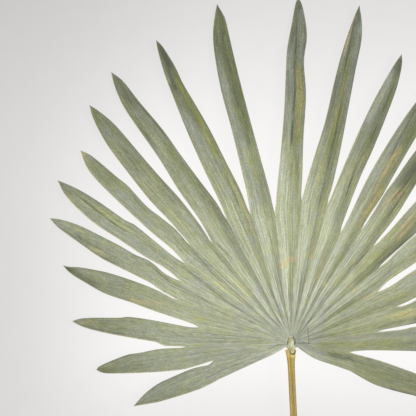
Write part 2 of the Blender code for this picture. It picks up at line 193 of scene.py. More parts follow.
# Where each pleat climbs most steeply, as a share of the way across its
# segment, at each of these distances from the hub
STEEP_RADII = (35, 55, 75, 115, 170)
STEEP_PLACES = (
    (0.80, 0.80, 0.80, 0.80, 0.80), (0.80, 0.80, 0.80, 0.80, 0.80), (0.80, 0.80, 0.80, 0.80, 0.80),
    (0.85, 0.85, 0.85, 0.72, 0.80), (0.90, 0.68, 0.47, 0.72, 0.85), (0.40, 0.42, 0.43, 0.72, 0.80),
    (0.35, 0.48, 0.60, 0.75, 0.78), (0.60, 0.80, 0.88, 0.93, 0.90), (0.60, 0.78, 0.82, 0.87, 0.88),
    (0.52, 0.63, 0.77, 0.87, 0.88), (0.58, 0.66, 0.70, 0.88, 0.80), (0.53, 0.60, 0.74, 0.86, 0.75),
    (0.72, 0.68, 0.78, 0.88, 0.72), (0.92, 0.80, 0.82, 0.88, 0.75), (0.85, 0.72, 0.78, 0.84, 0.74),
    (0.92, 0.80, 0.84, 0.90, 0.74), (1.05, 0.84, 0.85, 0.86, 0.80), (0.89, 0.76, 0.78, 0.76, 0.78),
    (0.84, 0.77, 0.84, 0.82, 0.80), (0.72, 0.88, 0.80, 0.80, 0.80), (0.60, 0.70, 0.80, 0.80, 0.80),
    (0.80, 0.80, 0.80, 0.80, 0.80),
)

# The fine ribs of each segment: where they are on the way across it, how high
# they stand and how wide they are, as shares of its width. In the joined part a
# pale vein runs on each, with a dark line of painted shade beside it: strength,
# and how far aside.
RIBS = (
    (0.3, 0.6, 0.8), (0.2, 0.5, 0.8), (0.2, 0.45, 0.7), (0.15, 0.4, 0.75), (0.2, 0.5, 0.62),
    (0.2, 0.62, 0.85), (0.2, 0.5, 0.85), (0.1, 0.36, 0.7), (0.09, 0.32, 0.7), (0.02, 0.24, 0.46),
    (0.06, 0.24, 0.56, 0.82),
    (0.22, 0.42, 0.62), (0.08, 0.3, 0.62), (0.18, 0.42, 0.7), (0.12, 0.36, 0.66), (0.1, 0.4, 0.7),
    (0.22, 0.5, 0.75), (0.2, 0.5, 0.72), (0.1, 0.4, 0.7), (0.2, 0.5, 0.8), (0.2, 0.5, 0.8), (0.3, 0.7),
)
RIB_HEIGHT = 0.006
RIB_WIDTH = 0.05
VEIN_WIDTH = 0.9
# The dark line beside each vein is painted shade along its rib
VEINS = {"pale": (0.5, 0.0), "dark": (0.4, 1.3 * VEIN_WIDTH)}
VEIN_START = 25.0
VEIN_FULL = 60.0
VEIN_END = 0.2
RIB_START = 14.0
RIB_FULL = 40.0

# The plug
CLEARANCE = 0.3
TONGUE_EASE = 0.35
SHOULDER = 0.75
SHOULDER_Y = -1.4
SHOULDER_LENGTH = 1.8
STEP_Y = -7.9
STEP_SHARE = 0.45
TONGUE_FLATNESS = 0.55
TONGUE_BLUNTNESS = 0.06
TONGUE_ROUNDNESS = 2.4
SPIGOT_START_Y = -1.0
SPIGOT_END_Y = -14.7
SPIGOT_EASE = 0.25
SPIGOT_RINGS = 24
TONGUE_RINGS = 22
TONGUE_CROWDING = 1.6
PLUG_MIDDLE_X = 0.45
FLANGE_RADIUS = 6.6
FLANGE_THICKNESS = 1.0
ROUND_SIDES = 48
TURNS = [2 * math.pi * side / ROUND_SIDES for side in range(ROUND_SIDES)]

# The stem
STEM_AXIS_DROP = 1.2
STEM_MIDDLE_X = -0.1
CUP_LEAN = 0.3
STEM_MOUTH_Y = -4.4
STEM_END_Y = -432.0
STEM_STRAIGHT_TO_Y = -13.0
STEM_LEAN = 0.05
STEM_BEND_LENGTH = 6.0
STEM_RADIUS = 3.5
STEM_FLATNESS = 0.92
STEM_GROOVE = 0.13
STEM_GROOVE_DEGREES = 22
STEM_GROOVE_START_Y = -12.4
STEM_GROOVE_FULL_Y = -34.4
CUP_FLARE = 2.1
CUP_FLARE_LENGTH = 8.0
CUP_FLARE_POWER = 1.5
CUP_RINGS = 16
SHANK_RINGS = 60
SHANK_CROWDING = 1.3
END_CHAMFER = 0.5
BORE_END_Y = -15.0
BORE_OVERSHOOT = 3.0
BORE_MOUTH_RADIUS = 3.9
BORE_END_RADIUS = 2.5
FRONT_NOTCH_X = 1.2
FRONT_NOTCH_RADIUS = 3.0
FRONT_NOTCH_END_Y = -9.7
FRONT_NOTCH_OVERSHOOT = 4.0
FRONT_NOTCH_FLOOR = 1.0
FRONT_NOTCH_SIDES = 25

# How light each segment is at these distances from the hub, and how dark it
# grows towards its tip
TONE_RADII = (20, 45, 85, 150, 210)
SEGMENT_TONE = (
    (1.26, 1.04, 0.93, 0.96, 0.97), (1.22, 1.04, 0.97, 1.04, 1.04), (1.10, 1.00, 1.00, 1.07, 1.06),
    (1.12, 1.10, 1.07, 1.10, 1.15), (1.07, 1.07, 1.09, 1.11, 1.10), (1.04, 1.10, 1.12, 1.13, 1.20),
    (0.98, 1.09, 1.13, 1.11, 1.14), (1.05, 1.15, 1.15, 1.07, 1.08), (1.12, 1.24, 1.10, 1.03, 1.07),
    (1.03, 1.14, 1.12, 1.04, 1.08), (1.03, 1.06, 1.08, 1.06, 1.04), (1.00, 1.07, 1.23, 1.15, 0.97),
    (0.99, 1.00, 1.10, 1.02, 0.87), (0.98, 1.16, 1.05, 1.05, 0.94), (0.96, 1.03, 1.02, 0.98, 0.94),
    (0.90, 1.03, 1.03, 0.90, 0.82), (0.93, 1.05, 0.97, 0.89, 0.97), (0.87, 0.93, 0.97, 1.02, 1.00),
    (0.85, 0.89, 0.88, 0.91, 0.91), (0.88, 0.86, 0.88, 0.80, 0.80), (0.88, 0.80, 0.81, 0.81, 0.81),
    (0.93, 0.78, 0.735, 0.73, 0.71),
)
TIP_GLOOM = (
    0.30, 0.45, 0.45, 0.60, 0.38, 0.42, 0.38, 0.60, 0.66, 0.97, 0.97,
    0.97, 0.92, 0.97, 1.00, 1.00, 0.75, 0.60, 0.60, 0.60, 0.60, 0.55,
)

# Where a tip starts to darken and where it is darkest, as shares of the free
# part, and the painted shade on the far side of each fold, turned away from the
# light and stronger where the fold is deeper: where it starts and ends across
# the segment, and from the hub in millimetres
GLOOM_GROWS = (-0.08, 0.85)
FOLD_SHADE_ACROSS = (0.35, 0.65)
FOLD_SHADE_RADII = (10, 45)
FOLD_SHADE_PER_FOLD = 1.8

# How far from an edge the joined part is taken to be, so that it has no rim
NO_EDGE = 40.0
NO_EDGE_POWER = 6

# The marks of each tint, by segment, counted from 1 at the lower left. A mark
# is its strength in percent, its width in millimetres, and then for each point
# that it runs through the millimetres from the hub and the percentage of the way
# across the segment. Where marks of one tint meet, the stronger one shows.
MARKS = {
    "pale": {
        # The thin pale marks along the ridges at the segments' edges, some 45 to 68 millimetres from the
        # hub, are painted highlights where the ridges catch the light
        1: [(25, 3, 12, 20, 26, 20)],
        2: [(25, 3, 12, 80, 26, 80), (25, 4, 180, 75, 195, 75), (30, 6, 35, 65, 60, 80)],
        3: [(28, 8, 92, 80, 128, 80)],
        4: [(30, 4, 20, 30, 45, 30), (15, 5, 180, 80, 222, 80)],
        5: [(20, 6, 236, 80, 262, 75), (32, 8, 50, 75, 124, 75), (20, 8, 180, 80, 235, 80),
            (50, 4, 209, 28, 218, 20), (60, 2.2, 27, 42, 47, 50)],
        6: [(15, 10, 50, 75, 120, 75)],
        7: [(75, 2.2, 26, 68, 38, 78, 52, 85)],
        8: [(25, 8, 138, 80, 178, 80), (20, 8, 292, 80, 318, 75), (35, 4, 28, 85, 52, 85),
            (35, 4, 78, 60, 92, 45), (50, 2.5, 64, 42, 77, 42), (60, 1.3, 34, 15, 46, 10, 64, 4)],
        9: [(25, 3, 12, 80, 50, 80), (12, 10, 30, 75, 130, 75), (80, 1.5, 91, 46, 115, 34, 132, 28),
            (50, 1, 40, 14, 92, 22), (65, 1.1, 30, 44, 85, 48)],
        10: [(20, 3, 12, 80, 26, 80), (60, 1.2, 36, 33, 73, 30, 102, 25), (50, 1.3, 46, 94, 66, 92)],
        11: [(25, 14, 92, 50, 130, 50), (50, 5, 78, 30, 110, 30, 131, 25), (60, 1.3, 34, 22, 66, 24),
            (60, 1.3, 44, 84, 72, 97)],
        12: [(30, 5, 92, 75, 131, 75), (40, 4, 27, 25, 48, 25), (45, 5, 148, 30, 170, 15, 205, 12),
            (85, 1, 82, 30, 110, 28, 138, 27), (85, 1.3, 46, 20, 60, 26, 80, 34),
            (45, 1.5, 46, 88, 66, 88)],
        13: [(30, 5, 290, 80, 325, 80), (45, 4, 118, 25, 140, 15, 167, 10),
            (65, 1.8, 68, 15, 92, 10, 114, 15), (65, 1.5, 40, 30, 60, 33, 90, 38, 120, 34),
            (45, 1.5, 46, 97, 66, 97)],
        14: [(30, 3, 27, 80, 50, 80), (20, 5, 52, 80, 88, 80), (50, 6, 232, 20, 290, 20),
            (25, 5, 235, 80, 290, 75), (65, 1.2, 48, 22, 110, 20), (50, 1.2, 40, 36, 100, 35),
            (50, 1.6, 45, 97, 68, 97)],
        15: [(30, 2, 12, 80, 26, 80), (20, 3, 26, 85, 48, 85), (45, 2.5, 36, 22, 70, 20, 112, 20),
            (50, 1.6, 45, 2, 68, 2), (25, 1.6, 45, 97, 62, 97)],
        16: [(55, 3, 14, 85, 48, 85), (20, 5, 54, 20, 88, 20), (50, 1.6, 45, 3, 68, 3),
            (50, 1.6, 45, 97, 68, 97)],
        17: [(55, 3, 25, 85, 48, 85), (30, 7, 52, 80, 130, 78), (50, 3, 48, 35, 76, 35),
            (50, 1.6, 42, 3, 68, 4), (45, 1.6, 45, 97, 68, 97)],
        18: [(30, 3, 14, 85, 48, 85), (15, 6, 90, 80, 128, 80), (25, 6, 94, 78, 128, 75),
            (20, 8, 130, 75, 160, 80), (35, 5, 122, 80, 146, 80), (45, 1.6, 45, 2, 68, 2),
            (45, 1.6, 45, 97, 68, 97)],
        19: [(25, 8, 14, 85, 128, 80), (45, 1.6, 45, 2, 68, 2)],
        20: [(20, 3, 12, 80, 25, 80)],
        22: [(40, 4, 12, 80, 46, 75)],
    },
    "grey": {
        1: [(50, 8, 95, 80, 110, 75, 135, 70, 150, 60, 166, 60), (40, 16, 50, 50, 150, 45)],
        2: [(40, 18, 60, 50, 190, 50)],
        3: [(45, 5, 155, 60, 170, 60), (50, 3, 205, 93, 220, 90), (35, 16, 60, 50, 160, 50),
            (50, 3, 68, 72, 85, 65), (50, 2, 26, 42, 36, 35)],
        4: [(30, 8, 180, 70, 225, 70), (40, 3, 35, 15, 60, 10)],
        5: [(25, 12, 170, 75, 235, 75)],
        6: [(30, 10, 40, 75, 130, 75), (50, 6, 236, 30, 266, 30), (50, 6, 135, 30, 180, 35, 232, 30)],
        7: [(50, 7, 180, 30, 238, 30), (35, 10, 245, 40, 280, 40), (40, 3, 87, 60, 108, 68),
            (20, 12, 50, 75, 130, 75)],
        9: [(30, 8, 28, 75, 88, 75), (30, 10, 30, 75, 130, 75)],
        10: [(30, 5, 295, 20, 328, 40), (65, 7, 210, 28, 249, 25), (60, 5, 96, 66, 120, 62)],
        11: [(35, 9, 140, 40, 178, 35), (60, 6, 160, 28, 220, 22, 260, 20, 302, 18)],
        12: [(60, 9, 275, 85, 300, 70, 335, 60), (60, 7, 215, 20, 250, 15, 300, 15)],
        13: [(60, 8, 245, 80, 332, 75)],
        14: [(60, 8, 225, 22, 290, 22), (40, 9, 125, 48, 150, 48)],
        15: [(50, 7, 148, 15, 200, 15, 257, 10)],
        16: [(50, 3, 50, 30, 112, 25)],
        18: [(40, 8, 123, 30, 160, 30)],
        21: [(65, 7, 76, 12, 95, 22, 118, 15)],
        22: [(20, 6, 76, 45, 92, 40)],
    },
    "straw": {
        7: [(75, 3.5, 66, 30, 80, 25, 104, 22)],
        8: [(75, 3, 63, 50, 80, 55), (55, 4.5, 78, 60, 92, 45)],
        10: [(60, 3, 138, 84, 157, 82)],
        14: [(60, 2, 104, 8, 131, 8)],
        17: [(60, 3, 77, 28, 91, 20)],
        20: [(220, 9, 102, 40, 118, 50, 134, 60)],
        22: [(80, 4.5, 49, 72, 57, 74)],
    },
    "olive": {
        1: [(35, 5, 105, 10, 150, 12)],
        2: [(45, 10, 150, 30, 196, 35), (30, 12, 172, 50, 194, 50)],
        3: [(40, 7, 182, 75, 210, 75)],
        4: [(85, 9, 226, 30, 243, 30)],
        7: [(30, 7, 240, 60, 266, 60)],
        # The first olive mark of segment 8 is painted shade along its far edge
        8: [(40, 3, 140, 96, 218, 96), (60, 12, 285, 50, 312, 50)],
        9: [(30, 5, 250, 20, 300, 20), (25, 8, 94, 70, 128, 70), (30, 8, 128, 80, 172, 85),
            (50, 4, 172, 85, 200, 80, 232, 78)],
        10: [(35, 4, 236, 92, 288, 90), (60, 9, 290, 30, 328, 40), (60, 4, 285, 88, 300, 88, 318, 90),
            (50, 2.5, 235, 95, 270, 93)],
        11: [(85, 11, 205, 72, 225, 74, 260, 74, 300, 72, 336, 70)],
        12: [(50, 3, 163, 80, 185, 68, 205, 60)],
        13: [(35, 5, 150, 80, 200, 75, 225, 74)],
        14: [(55, 9, 215, 75, 300, 75)],
        15: [(40, 8, 135, 80, 252, 80), (40, 3, 72, 88, 110, 85)],
        16: [(50, 5, 196, 80, 222, 75), (70, 12, 188, 40, 228, 50)],
        17: [(45, 14, 90, 60, 140, 60)],
        18: [(50, 3, 55, 75, 80, 72)],
        19: [(40, 3, 38, 82, 50, 80, 60, 80), (25, 8, 40, 75, 115, 75)],
        20: [(85, 16, 140, 85, 180, 85), (40, 4, 96, 15, 125, 15), (50, 4, 96, 82, 124, 80)],
        21: [(30, 8, 88, 60, 110, 55)],
        22: [(90, 5, 38, 30, 66, 33), (40, 16, 65, 50, 142, 50)],
    },
    "gold": {
        4: [(50, 8, 230, 30, 245, 30)],
        7: [(20, 5, 240, 25, 285, 20)],
        10: [(85, 3.8, 205, 74, 245, 78, 287, 74)],
        12: [(65, 5, 198, 74, 240, 74, 277, 68), (55, 3.5, 90, 90, 131, 92)],
        13: [(80, 3.6, 185, 45, 207, 47, 240, 52, 265, 55, 290, 52)],
        14: [(50, 2.5, 70, 62, 106, 62)],
        15: [(55, 5, 202, 55, 222, 60), (75, 3, 130, 82, 150, 84, 182, 88)],
        17: [(35, 16, 92, 60, 180, 60)],
        18: [(60, 2.5, 106, 7, 114, 7)],
        19: [(50, 4, 110, 65, 126, 65)],
        21: [(55, 2, 103, 79, 130, 77), (50, 1.5, 103, 88, 128, 88), (30, 12, 30, 70, 100, 70)],
        22: [(25, 16, 65, 50, 142, 50)],
    },
    "yellow": {
        2: [(30, 5, 182, 50, 194, 50), (25, 5, 22, 85, 42, 90)],
        3: [(50, 2.5, 28, 66, 37, 62), (40, 3, 18, 30, 27, 15), (30, 3, 60, 90, 74, 92)],
        4: [(45, 3, 150, 60, 170, 60), (130, 3, 87, 48, 95, 40, 104, 34), (50, 2.2, 41, 60, 47, 58),
            (45, 1.6, 24, 48, 31, 32)],
        5: [(40, 3, 233, 66, 247, 62), (20, 3, 205, 75, 219, 75), (60, 3, 65, 74, 77, 78)],
        6: [(45, 4, 205, 75, 225, 72, 240, 68), (35, 3, 190, 65, 212, 65), (55, 2.5, 118, 47, 136, 38)],
        7: [(60, 3, 96, 14, 117, 10), (35, 2.5, 88, 80, 107, 78)],
        8: [(45, 4, 60, 50, 92, 50), (35, 3, 203, 75, 232, 70), (55, 2.5, 159, 38, 178, 32),
            (30, 5, 150, 40, 190, 25), (40, 3, 106, 30, 127, 20)],
        9: [(50, 1.5, 91, 48, 107, 40), (55, 2.2, 223, 48, 247, 42), (35, 3, 123, 60, 152, 60)],
        10: [(50, 2, 287, 15, 306, 13), (80, 3, 136, 85, 158, 83, 176, 80), (35, 3, 176, 80, 205, 78),
            (40, 4, 123, 30, 150, 30, 175, 10), (40, 2.5, 73, 75, 90, 60, 105, 50, 128, 55)],
        11: [(35, 5, 85, 88, 135, 86), (25, 2.2, 310, 38, 330, 30), (45, 2, 160, 63, 180, 58, 198, 52),
            (35, 1.8, 186, 34, 198, 30), (45, 2, 96, 65, 112, 58, 128, 50)],
        12: [(40, 4, 148, 75, 175, 58, 202, 50), (50, 1, 92, 20, 135, 19), (50, 2, 55, 50, 80, 52),
            (50, 2, 55, 80, 80, 80)],
        13: [(60, 2.4, 158, 45, 190, 45), (60, 4, 108, 87, 162, 90)],
        14: [(50, 3, 165, 50, 191, 46), (40, 4, 163, 85, 217, 75), (60, 1.8, 130, 92, 146, 92)],
        15: [(35, 9, 117, 60, 137, 60), (45, 5, 145, 70, 170, 70, 200, 60), (55, 1.6, 114, 80, 131, 80),
            (40, 3, 114, 35, 122, 35)],
        16: [(45, 9, 125, 80, 195, 82), (40, 6, 128, 60, 167, 50), (50, 6, 73, 70, 91, 70)],
        17: [(35, 8, 100, 20, 160, 15), (15, 10, 40, 75, 90, 75), (45, 6, 88, 50, 126, 50)],
        18: [(45, 3, 104, 60, 116, 60), (25, 10, 40, 75, 92, 75), (30, 3, 80, 50, 92, 50)],
        19: [(30, 3, 12, 30, 26, 30), (40, 12, 38, 75, 130, 72)],
        20: [(42, 18, 40, 65, 150, 50), (45, 5, 57, 80, 78, 75)],
        21: [(50, 14, 28, 65, 110, 65), (45, 6, 35, 40, 62, 55, 78, 70)],
        22: [(40, 3, 30, 8, 76, 8), (35, 10, 35, 75, 90, 75)],
    },
    "orange": {
        2: [(45, 1.2, 150, 2, 182, 2)],
        3: [(50, 1, 155, 2, 214, 3), (55, 2.8, 198, 65, 205, 54, 212, 44)],
        4: [(80, 4.5, 139, 42, 150, 30, 160, 20, 172, 8), (40, 1.3, 222, 92, 236, 88)],
        5: [(60, 4.2, 208, 32, 213, 25, 221, 16)],
        6: [(70, 1.3, 247, 47, 254, 47), (50, 1.1, 215, 3, 240, 3, 268, 4)],
        7: [(55, 6, 277, 38, 290, 45)],
        8: [(55, 1.2, 246, 4, 264, 3), (70, 2.2, 193, 12, 207, 10), (45, 1.8, 161, 40, 168, 36)],
        9: [(50, 1.4, 170, 24, 184, 20), (45, 1.3, 135, 26, 148, 16, 160, 8)],
        10: [(35, 1.6, 270, 77, 287, 72), (35, 1.5, 213, 74, 234, 72), (60, 2.5, 137, 86, 146, 83, 157, 84),
            (65, 2.2, 118, 96, 133, 92)],
        11: [(45, 1.3, 326, 4, 342, 10), (35, 1.8, 262, 40, 273, 38), (45, 2, 68, 93, 92, 98)],
        12: [(40, 1.5, 316, 10, 330, 5), (45, 5, 208, 74, 274, 68), (55, 2, 254, 62, 272, 62),
            (60, 2.6, 207, 72, 228, 76, 250, 70)],
        13: [(80, 2.2, 296, 12, 318, 14, 333, 12), (50, 1.3, 215, 48, 264, 52), (50, 2, 166, 44, 180, 42),
            (85, 2.5, 85, 93, 103, 90)],
        14: [(80, 2.2, 171, 50, 190, 47), (55, 2.5, 58, 83, 100, 85), (35, 2, 80, 60, 110, 60)],
        15: [(90, 6, 203, 58, 222, 62), (100, 3.4, 172, 62, 187, 58, 204, 60),
            (100, 3, 130, 76, 150, 76, 178, 82)],
        16: [(95, 3, 167, 28, 180, 38, 193, 52), (90, 2.4, 167, 52, 182, 58, 197, 68)],
        17: [(100, 2.8, 154, 38, 165, 34, 176, 30), (90, 2.4, 149, 55, 166, 45),
            (100, 2.2, 148, 66, 160, 60, 174, 52), (40, 2, 152, 72, 170, 64), (40, 1.8, 128, 80, 140, 78)],
        18: [(30, 4, 130, 87, 150, 85), (20, 3, 104, 92, 126, 88), (180, 3, 93, 96, 99, 95),
            (50, 1.2, 102, 98, 122, 98)],
        19: [(55, 3, 139, 6, 149, 5), (55, 2, 96, 5, 103, 5)],
        20: [(65, 5, 101, 40, 114, 48, 132, 56)],
        21: [(45, 4, 54, 10, 72, 15), (50, 1.4, 68, 95, 80, 97)],
        22: [(40, 3, 110, 93, 138, 92), (50, 2.2, 98, 50, 104, 50), (45, 2.5, 81, 92, 91, 90)],
    },
    "dark": {
        # The dark marks that run close along the far edges, 90 to 97 percent across, are painted shade on
        # the side turned away from the light
        1: [(20, 3, 12, 80, 26, 80), (12, 8, 50, 80, 88, 80), (25, 5, 26, 80, 48, 80),
            (30, 1.5, 112, 93, 150, 93)],
        2: [(30, 4, 12, 25, 25, 25), (45, 7, 181, 30, 196, 30), (35, 1.5, 150, 95, 190, 95)],
        3: [(20, 4, 28, 25, 48, 25), (45, 2.5, 160, 10, 180, 12, 212, 12), (30, 2, 130, 12, 160, 10),
            (35, 1.4, 170, 30, 184, 20), (35, 1.4, 154, 43, 176, 40)],
        4: [(15, 5, 55, 20, 86, 20), (55, 4, 204, 12, 222, 22, 238, 40), (90, 8, 229, 30, 245, 35),
            (50, 5, 205, 22, 229, 30)],
        5: [(20, 3, 12, 25, 26, 25), (15, 6, 52, 25, 124, 25), (60, 2, 204, 42, 222, 34, 242, 30),
            (30, 5, 190, 20, 204, 20), (50, 1.6, 190, 8, 265, 7),
            (45, 2, 88, 62, 105, 72, 130, 76, 155, 80)],
        6: [(20, 3, 12, 25, 26, 25), (20, 8, 234, 20, 262, 20), (80, 1.15, 198, 53, 230, 57, 256, 60),
            (40, 10, 265, 40, 285, 40), (35, 1.5, 215, 95, 262, 94),
            (35, 2.5, 50, 30, 75, 45, 100, 60, 132, 80)],
        7: [(15, 8, 238, 30, 280, 30), (40, 1.8, 235, 90, 270, 90), (30, 3, 193, 75, 217, 75),
            (40, 2.5, 110, 70, 125, 85, 150, 92)],
        8: [(25, 3, 28, 30, 50, 30), (40, 1.5, 275, 95, 303, 93), (30, 3, 225, 40, 250, 50),
            (35, 1.8, 188, 60, 206, 55), (30, 6, 292, 30, 318, 30), (30, 2, 36, 60, 48, 70, 66, 86)],
        9: [(20, 3, 12, 25, 26, 25), (45, 8, 293, 30, 322, 30), (30, 5, 128, 90, 160, 93, 182, 93),
            (35, 10, 285, 50, 322, 50), (40, 2.5, 240, 93, 310, 90), (40, 3, 240, 18, 270, 12),
            (70, 1.5, 108, 27, 125, 15, 143, 5)],
        10: [(60, 8, 293, 20, 330, 25), (20, 6, 240, 80, 288, 80), (15, 5, 52, 25, 88, 25),
            (15, 2, 12, 25, 25, 25), (100, 3.6, 277, 38, 305, 42, 325, 50),
            (85, 5, 300, 66, 312, 72, 328, 70), (70, 1.1, 148, 71, 180, 70),
            (40, 1.6, 33, 50, 45, 56, 66, 60)],
        11: [(30, 10, 293, 30, 342, 30), (60, 2.4, 240, 60, 262, 60, 284, 64, 324, 64),
            (35, 8, 325, 40, 345, 40), (40, 2.5, 240, 95, 290, 92)],
        12: [(30, 8, 293, 20, 342, 25), (90, 1.9, 262, 48, 285, 50, 300, 45, 318, 34, 335, 25),
            (90, 2.4, 196, 50, 212, 45, 235, 45, 262, 47), (40, 3, 243, 20, 272, 15),
            (55, 5, 325, 30, 340, 50), (35, 3, 28, 75, 48, 80), (45, 1, 92, 37, 135, 35),
            (35, 1.4, 83, 63, 107, 60)],
        13: [(90, 1.5, 275, 40, 300, 35, 312, 27, 332, 16), (35, 4, 328, 50, 342, 45),
            (50, 1.1, 250, 56, 288, 55), (60, 1.8, 148, 70, 170, 66, 205, 62, 250, 62),
            (50, 4, 215, 17, 240, 17, 275, 15), (35, 2, 46, 55, 68, 45)],
        14: [(20, 10, 290, 60, 308, 50), (70, 1.3, 245, 72, 276, 70), (70, 1.3, 205, 70, 241, 72),
            (55, 1.4, 185, 48, 215, 48), (80, 1.5, 161, 68, 175, 60, 190, 53), (12, 6, 52, 25, 88, 25)],
        15: [(40, 1.5, 150, 68, 186, 70), (90, 1.8, 210, 44, 225, 40, 245, 32, 267, 20)],
        16: [(40, 2, 12, 30, 26, 30), (60, 2.5, 104, 96, 118, 97), (55, 8, 190, 30, 205, 35, 230, 50),
            (70, 2.5, 195, 56, 216, 55), (70, 1.5, 176, 45, 194, 55), (55, 1.4, 159, 72, 186, 72),
            (15, 2, 25, 88, 43, 90)],
        17: [(40, 2, 12, 30, 26, 30), (45, 1.4, 150, 48, 176, 42), (60, 5, 122, 94, 166, 92),
            (25, 3, 28, 30, 48, 25), (15, 6, 92, 20, 128, 20), (40, 3, 130, 95, 150, 92, 172, 90),
            (30, 4, 108, 85, 132, 80), (40, 2, 24, 5, 33, 2)],
        18: [(35, 2, 12, 30, 26, 30), (25, 6, 92, 30, 130, 25)],
        19: [(15, 6, 52, 25, 128, 20)],
        20: [(55, 14, 142, 80, 175, 80), (60, 14, 131, 80, 165, 75), (35, 3, 31, 80, 46, 72)],
        21: [(45, 1.5, 112, 68, 133, 68)],
        22: [(30, 4, 14, 30, 50, 30), (30, 4, 12, 30, 26, 30), (60, 1.8, 104, 97, 140, 96)],
    },
}

# How far a mark fades past its ends, in millimetres, and how soft the sides of
# marks and veins are, as a share of their width
MARK_FADE = 5.0
BLUR = 0.6

# Creases and lines that run across the segments: tint, strength in percent,
# width in millimetres, and their two ends in the leaf's own plane
LINES = (
    # Painted shade in a crease near the hub, and a painted highlight along its left side
    ("dark", 45, 1, (16.3, 16.5), (17.6, 2.0)),
    ("pale", 30, 0.8, (15.3, 15.5), (16.6, 2.5)),
    ("dark", 35, 1.2, (-4.0, 1.2), (-13.5, 0.5)),
    ("dark", 30, 1.2, (-13.5, 0.5), (-22.3, -3.4)),
    ("pale", 40, 1, (-8.8, 6.6), (-12.4, 8.9)),
    ("pale", 35, 1, (-12.4, 8.9), (-16.5, 8.6)),
    ("dark", 40, 1.2, (7.5, 2.2), (12.5, 2.6)),
    ("dark", 30, 1, (12.5, 2.6), (17.6, 1.8)),
    ("yellow", 25, 2, (-61.0, 26.0), (-56.5, 34.5)),
    ("orange", 30, 2.5, (-50.5, 44.5), (-46.5, 48.5)),
    ("yellow", 20, 2, (-46.5, 48.0), (-40.0, 53.0)),
    ("orange", 35, 5, (-10.5, 80.0), (-5.5, 80.0)),
    ("orange", 40, 4, (-4.5, 86.0), (6.5, 86.0)),
    ("straw", 45, 2.4, (33.0, 61.0), (36.0, 59.6)),
    ("orange", 25, 2, (33.0, 61.0), (36.0, 59.6)),
    ("orange", 50, 2.5, (58.6, 59.4), (62.3, 55.5)),
)


def smoothstep(start, end, value):
    share = np.clip((value - start) / (end - start), 0, 1)
    return share * share * (3 - 2 * share)


def distance_from_hub(point):
    return math.hypot(point[0] - HUB[0], point[1] - HUB[1])


def spaced_along(points, shares):
    """Places at the given shares of the length of a smooth curve through the points."""
    padded = [2 * Vector(points[0]) - Vector(points[1])]
    padded += [Vector(p) for p in points]
    padded.append(2 * padded[-1] - padded[-2])
    dense = []
    for a, b, c, d in zip(padded, padded[1:], padded[2:], padded[3:]):
        for step in range(CURVE_STEPS):
            t = step / CURVE_STEPS
            dense.append(
                b
                + (c - a) * (t / 2)
                + (2 * a - 5 * b + 4 * c - d) * (t * t / 2)
                + (3 * b - a - 3 * c + d) * (t * t * t / 2)
            )
    dense.append(padded[-2])
    lengths = np.cumsum([0.0] + [(b - a).length for a, b in pairwise(dense)])
    places = np.array(shares) * lengths[-1]
    return list(zip(*(np.interp(places, lengths, [p[axis] for p in dense]) for axis in (0, 1))))


def notch_point(index):
    """The start of a ridge, on the rim of the notch that holds the plug."""
    angle = NOTCH_HALF_ANGLE * (2 * index / len(SEGMENTS) - 1)
    sideways = math.sin(min(math.pi / 2, max(-math.pi / 2, angle)))
    return (
        NOTCH_MIDDLE[0] + NOTCH_HALF_WIDTH * sideways,
        NOTCH_MIDDLE[1] + NOTCH_HALF_LENGTH * math.cos(angle),
    )


def ridge(index):
    shares = [(row / JOINED_ROWS) ** HUB_CROWDING for row in range(JOINED_ROWS + 1)]
    return spaced_along([notch_point(index), *MARGINS.get(index, ()), SPLITS[index]], shares)


def free_edge(split, points, tip, inwards):
    """One edge of the free part, drawn inwards a little where the slit starts."""
    shares = [1 - (1 - row / FREE_ROWS) ** TIP_CROWDING for row in range(1, FREE_ROWS + 1)]
    ahead = (points[0][0] - split[0], points[0][1] - split[1])
    length = math.hypot(*ahead)
    if length < 2 * SLIT_EASE_PLACE or not inwards:
        return spaced_along([split, *points, tip], shares)
    along, sideways = SLIT_EASE_PLACE / length, inwards * SLIT_EASE / length
    eased_x = split[0] + ahead[0] * along + ahead[1] * sideways
    eased_y = split[1] + ahead[1] * along - ahead[0] * sideways
    return spaced_along([split, (eased_x, eased_y), *points, tip], shares)


def dome(point):
    return HUB_HEIGHT * (1 - (distance_from_hub(point) / REACH) ** 2)


def fold_slope(radius, share_free, fold):
    slope = FULL_FOLD_SLOPE * smoothstep(FOLD_START, FOLD_FULL, radius)
    depth = 1 + (fold - 1) * smoothstep(OWN_FOLD_START, OWN_FOLD_FULL, radius)
    return depth * (slope + (TIP_FOLD_SLOPE - FULL_FOLD_SLOPE) * math.sqrt(share_free))


def half_shares():
    """Shares from a ridge to a crease, closer together at both."""
    even = np.linspace(0, 1, HALF_COLUMNS + 1)
    return 0.5 * even + 0.25 * (1 - np.cos(np.pi * even))


def crease_depth(inwards):
    """How far a free segment has fallen at a share of the way from its edge (0) to its crease (1)."""
    steps = np.linspace(0, 1, 201)
    steepness = smoothstep(-0.2 * RIDGE_ROUNDING, RIDGE_ROUNDING, steps)
    steepness = steepness * smoothstep(0, CREASE_ROUNDING, 1 - steps)
    fallen = np.concatenate([[0], np.cumsum((steepness[1:] + steepness[:-1]) / 2)])
    return np.interp(inwards, steps, fallen / fallen[-1])


def pleat_heights():
    """The height of a joined pleat all the way across it, for a pleat one deep."""
    steps = np.linspace(0, 1, 401)
    steepness = np.zeros(len(steps))
    for (start, low), (end, high) in pairwise(PLEAT_STEEPNESS):
        inside = (steps >= start) & (steps <= end)
        steepness[inside] = low + (high - low) * smoothstep(start, end, steps[inside])
    steepness -= (steepness[1:] + steepness[:-1]).mean() / 2
    heights = np.concatenate([[0], np.cumsum((steepness[1:] + steepness[:-1]) / 2)])
    return steps, heights / (heights.max() - heights.min())


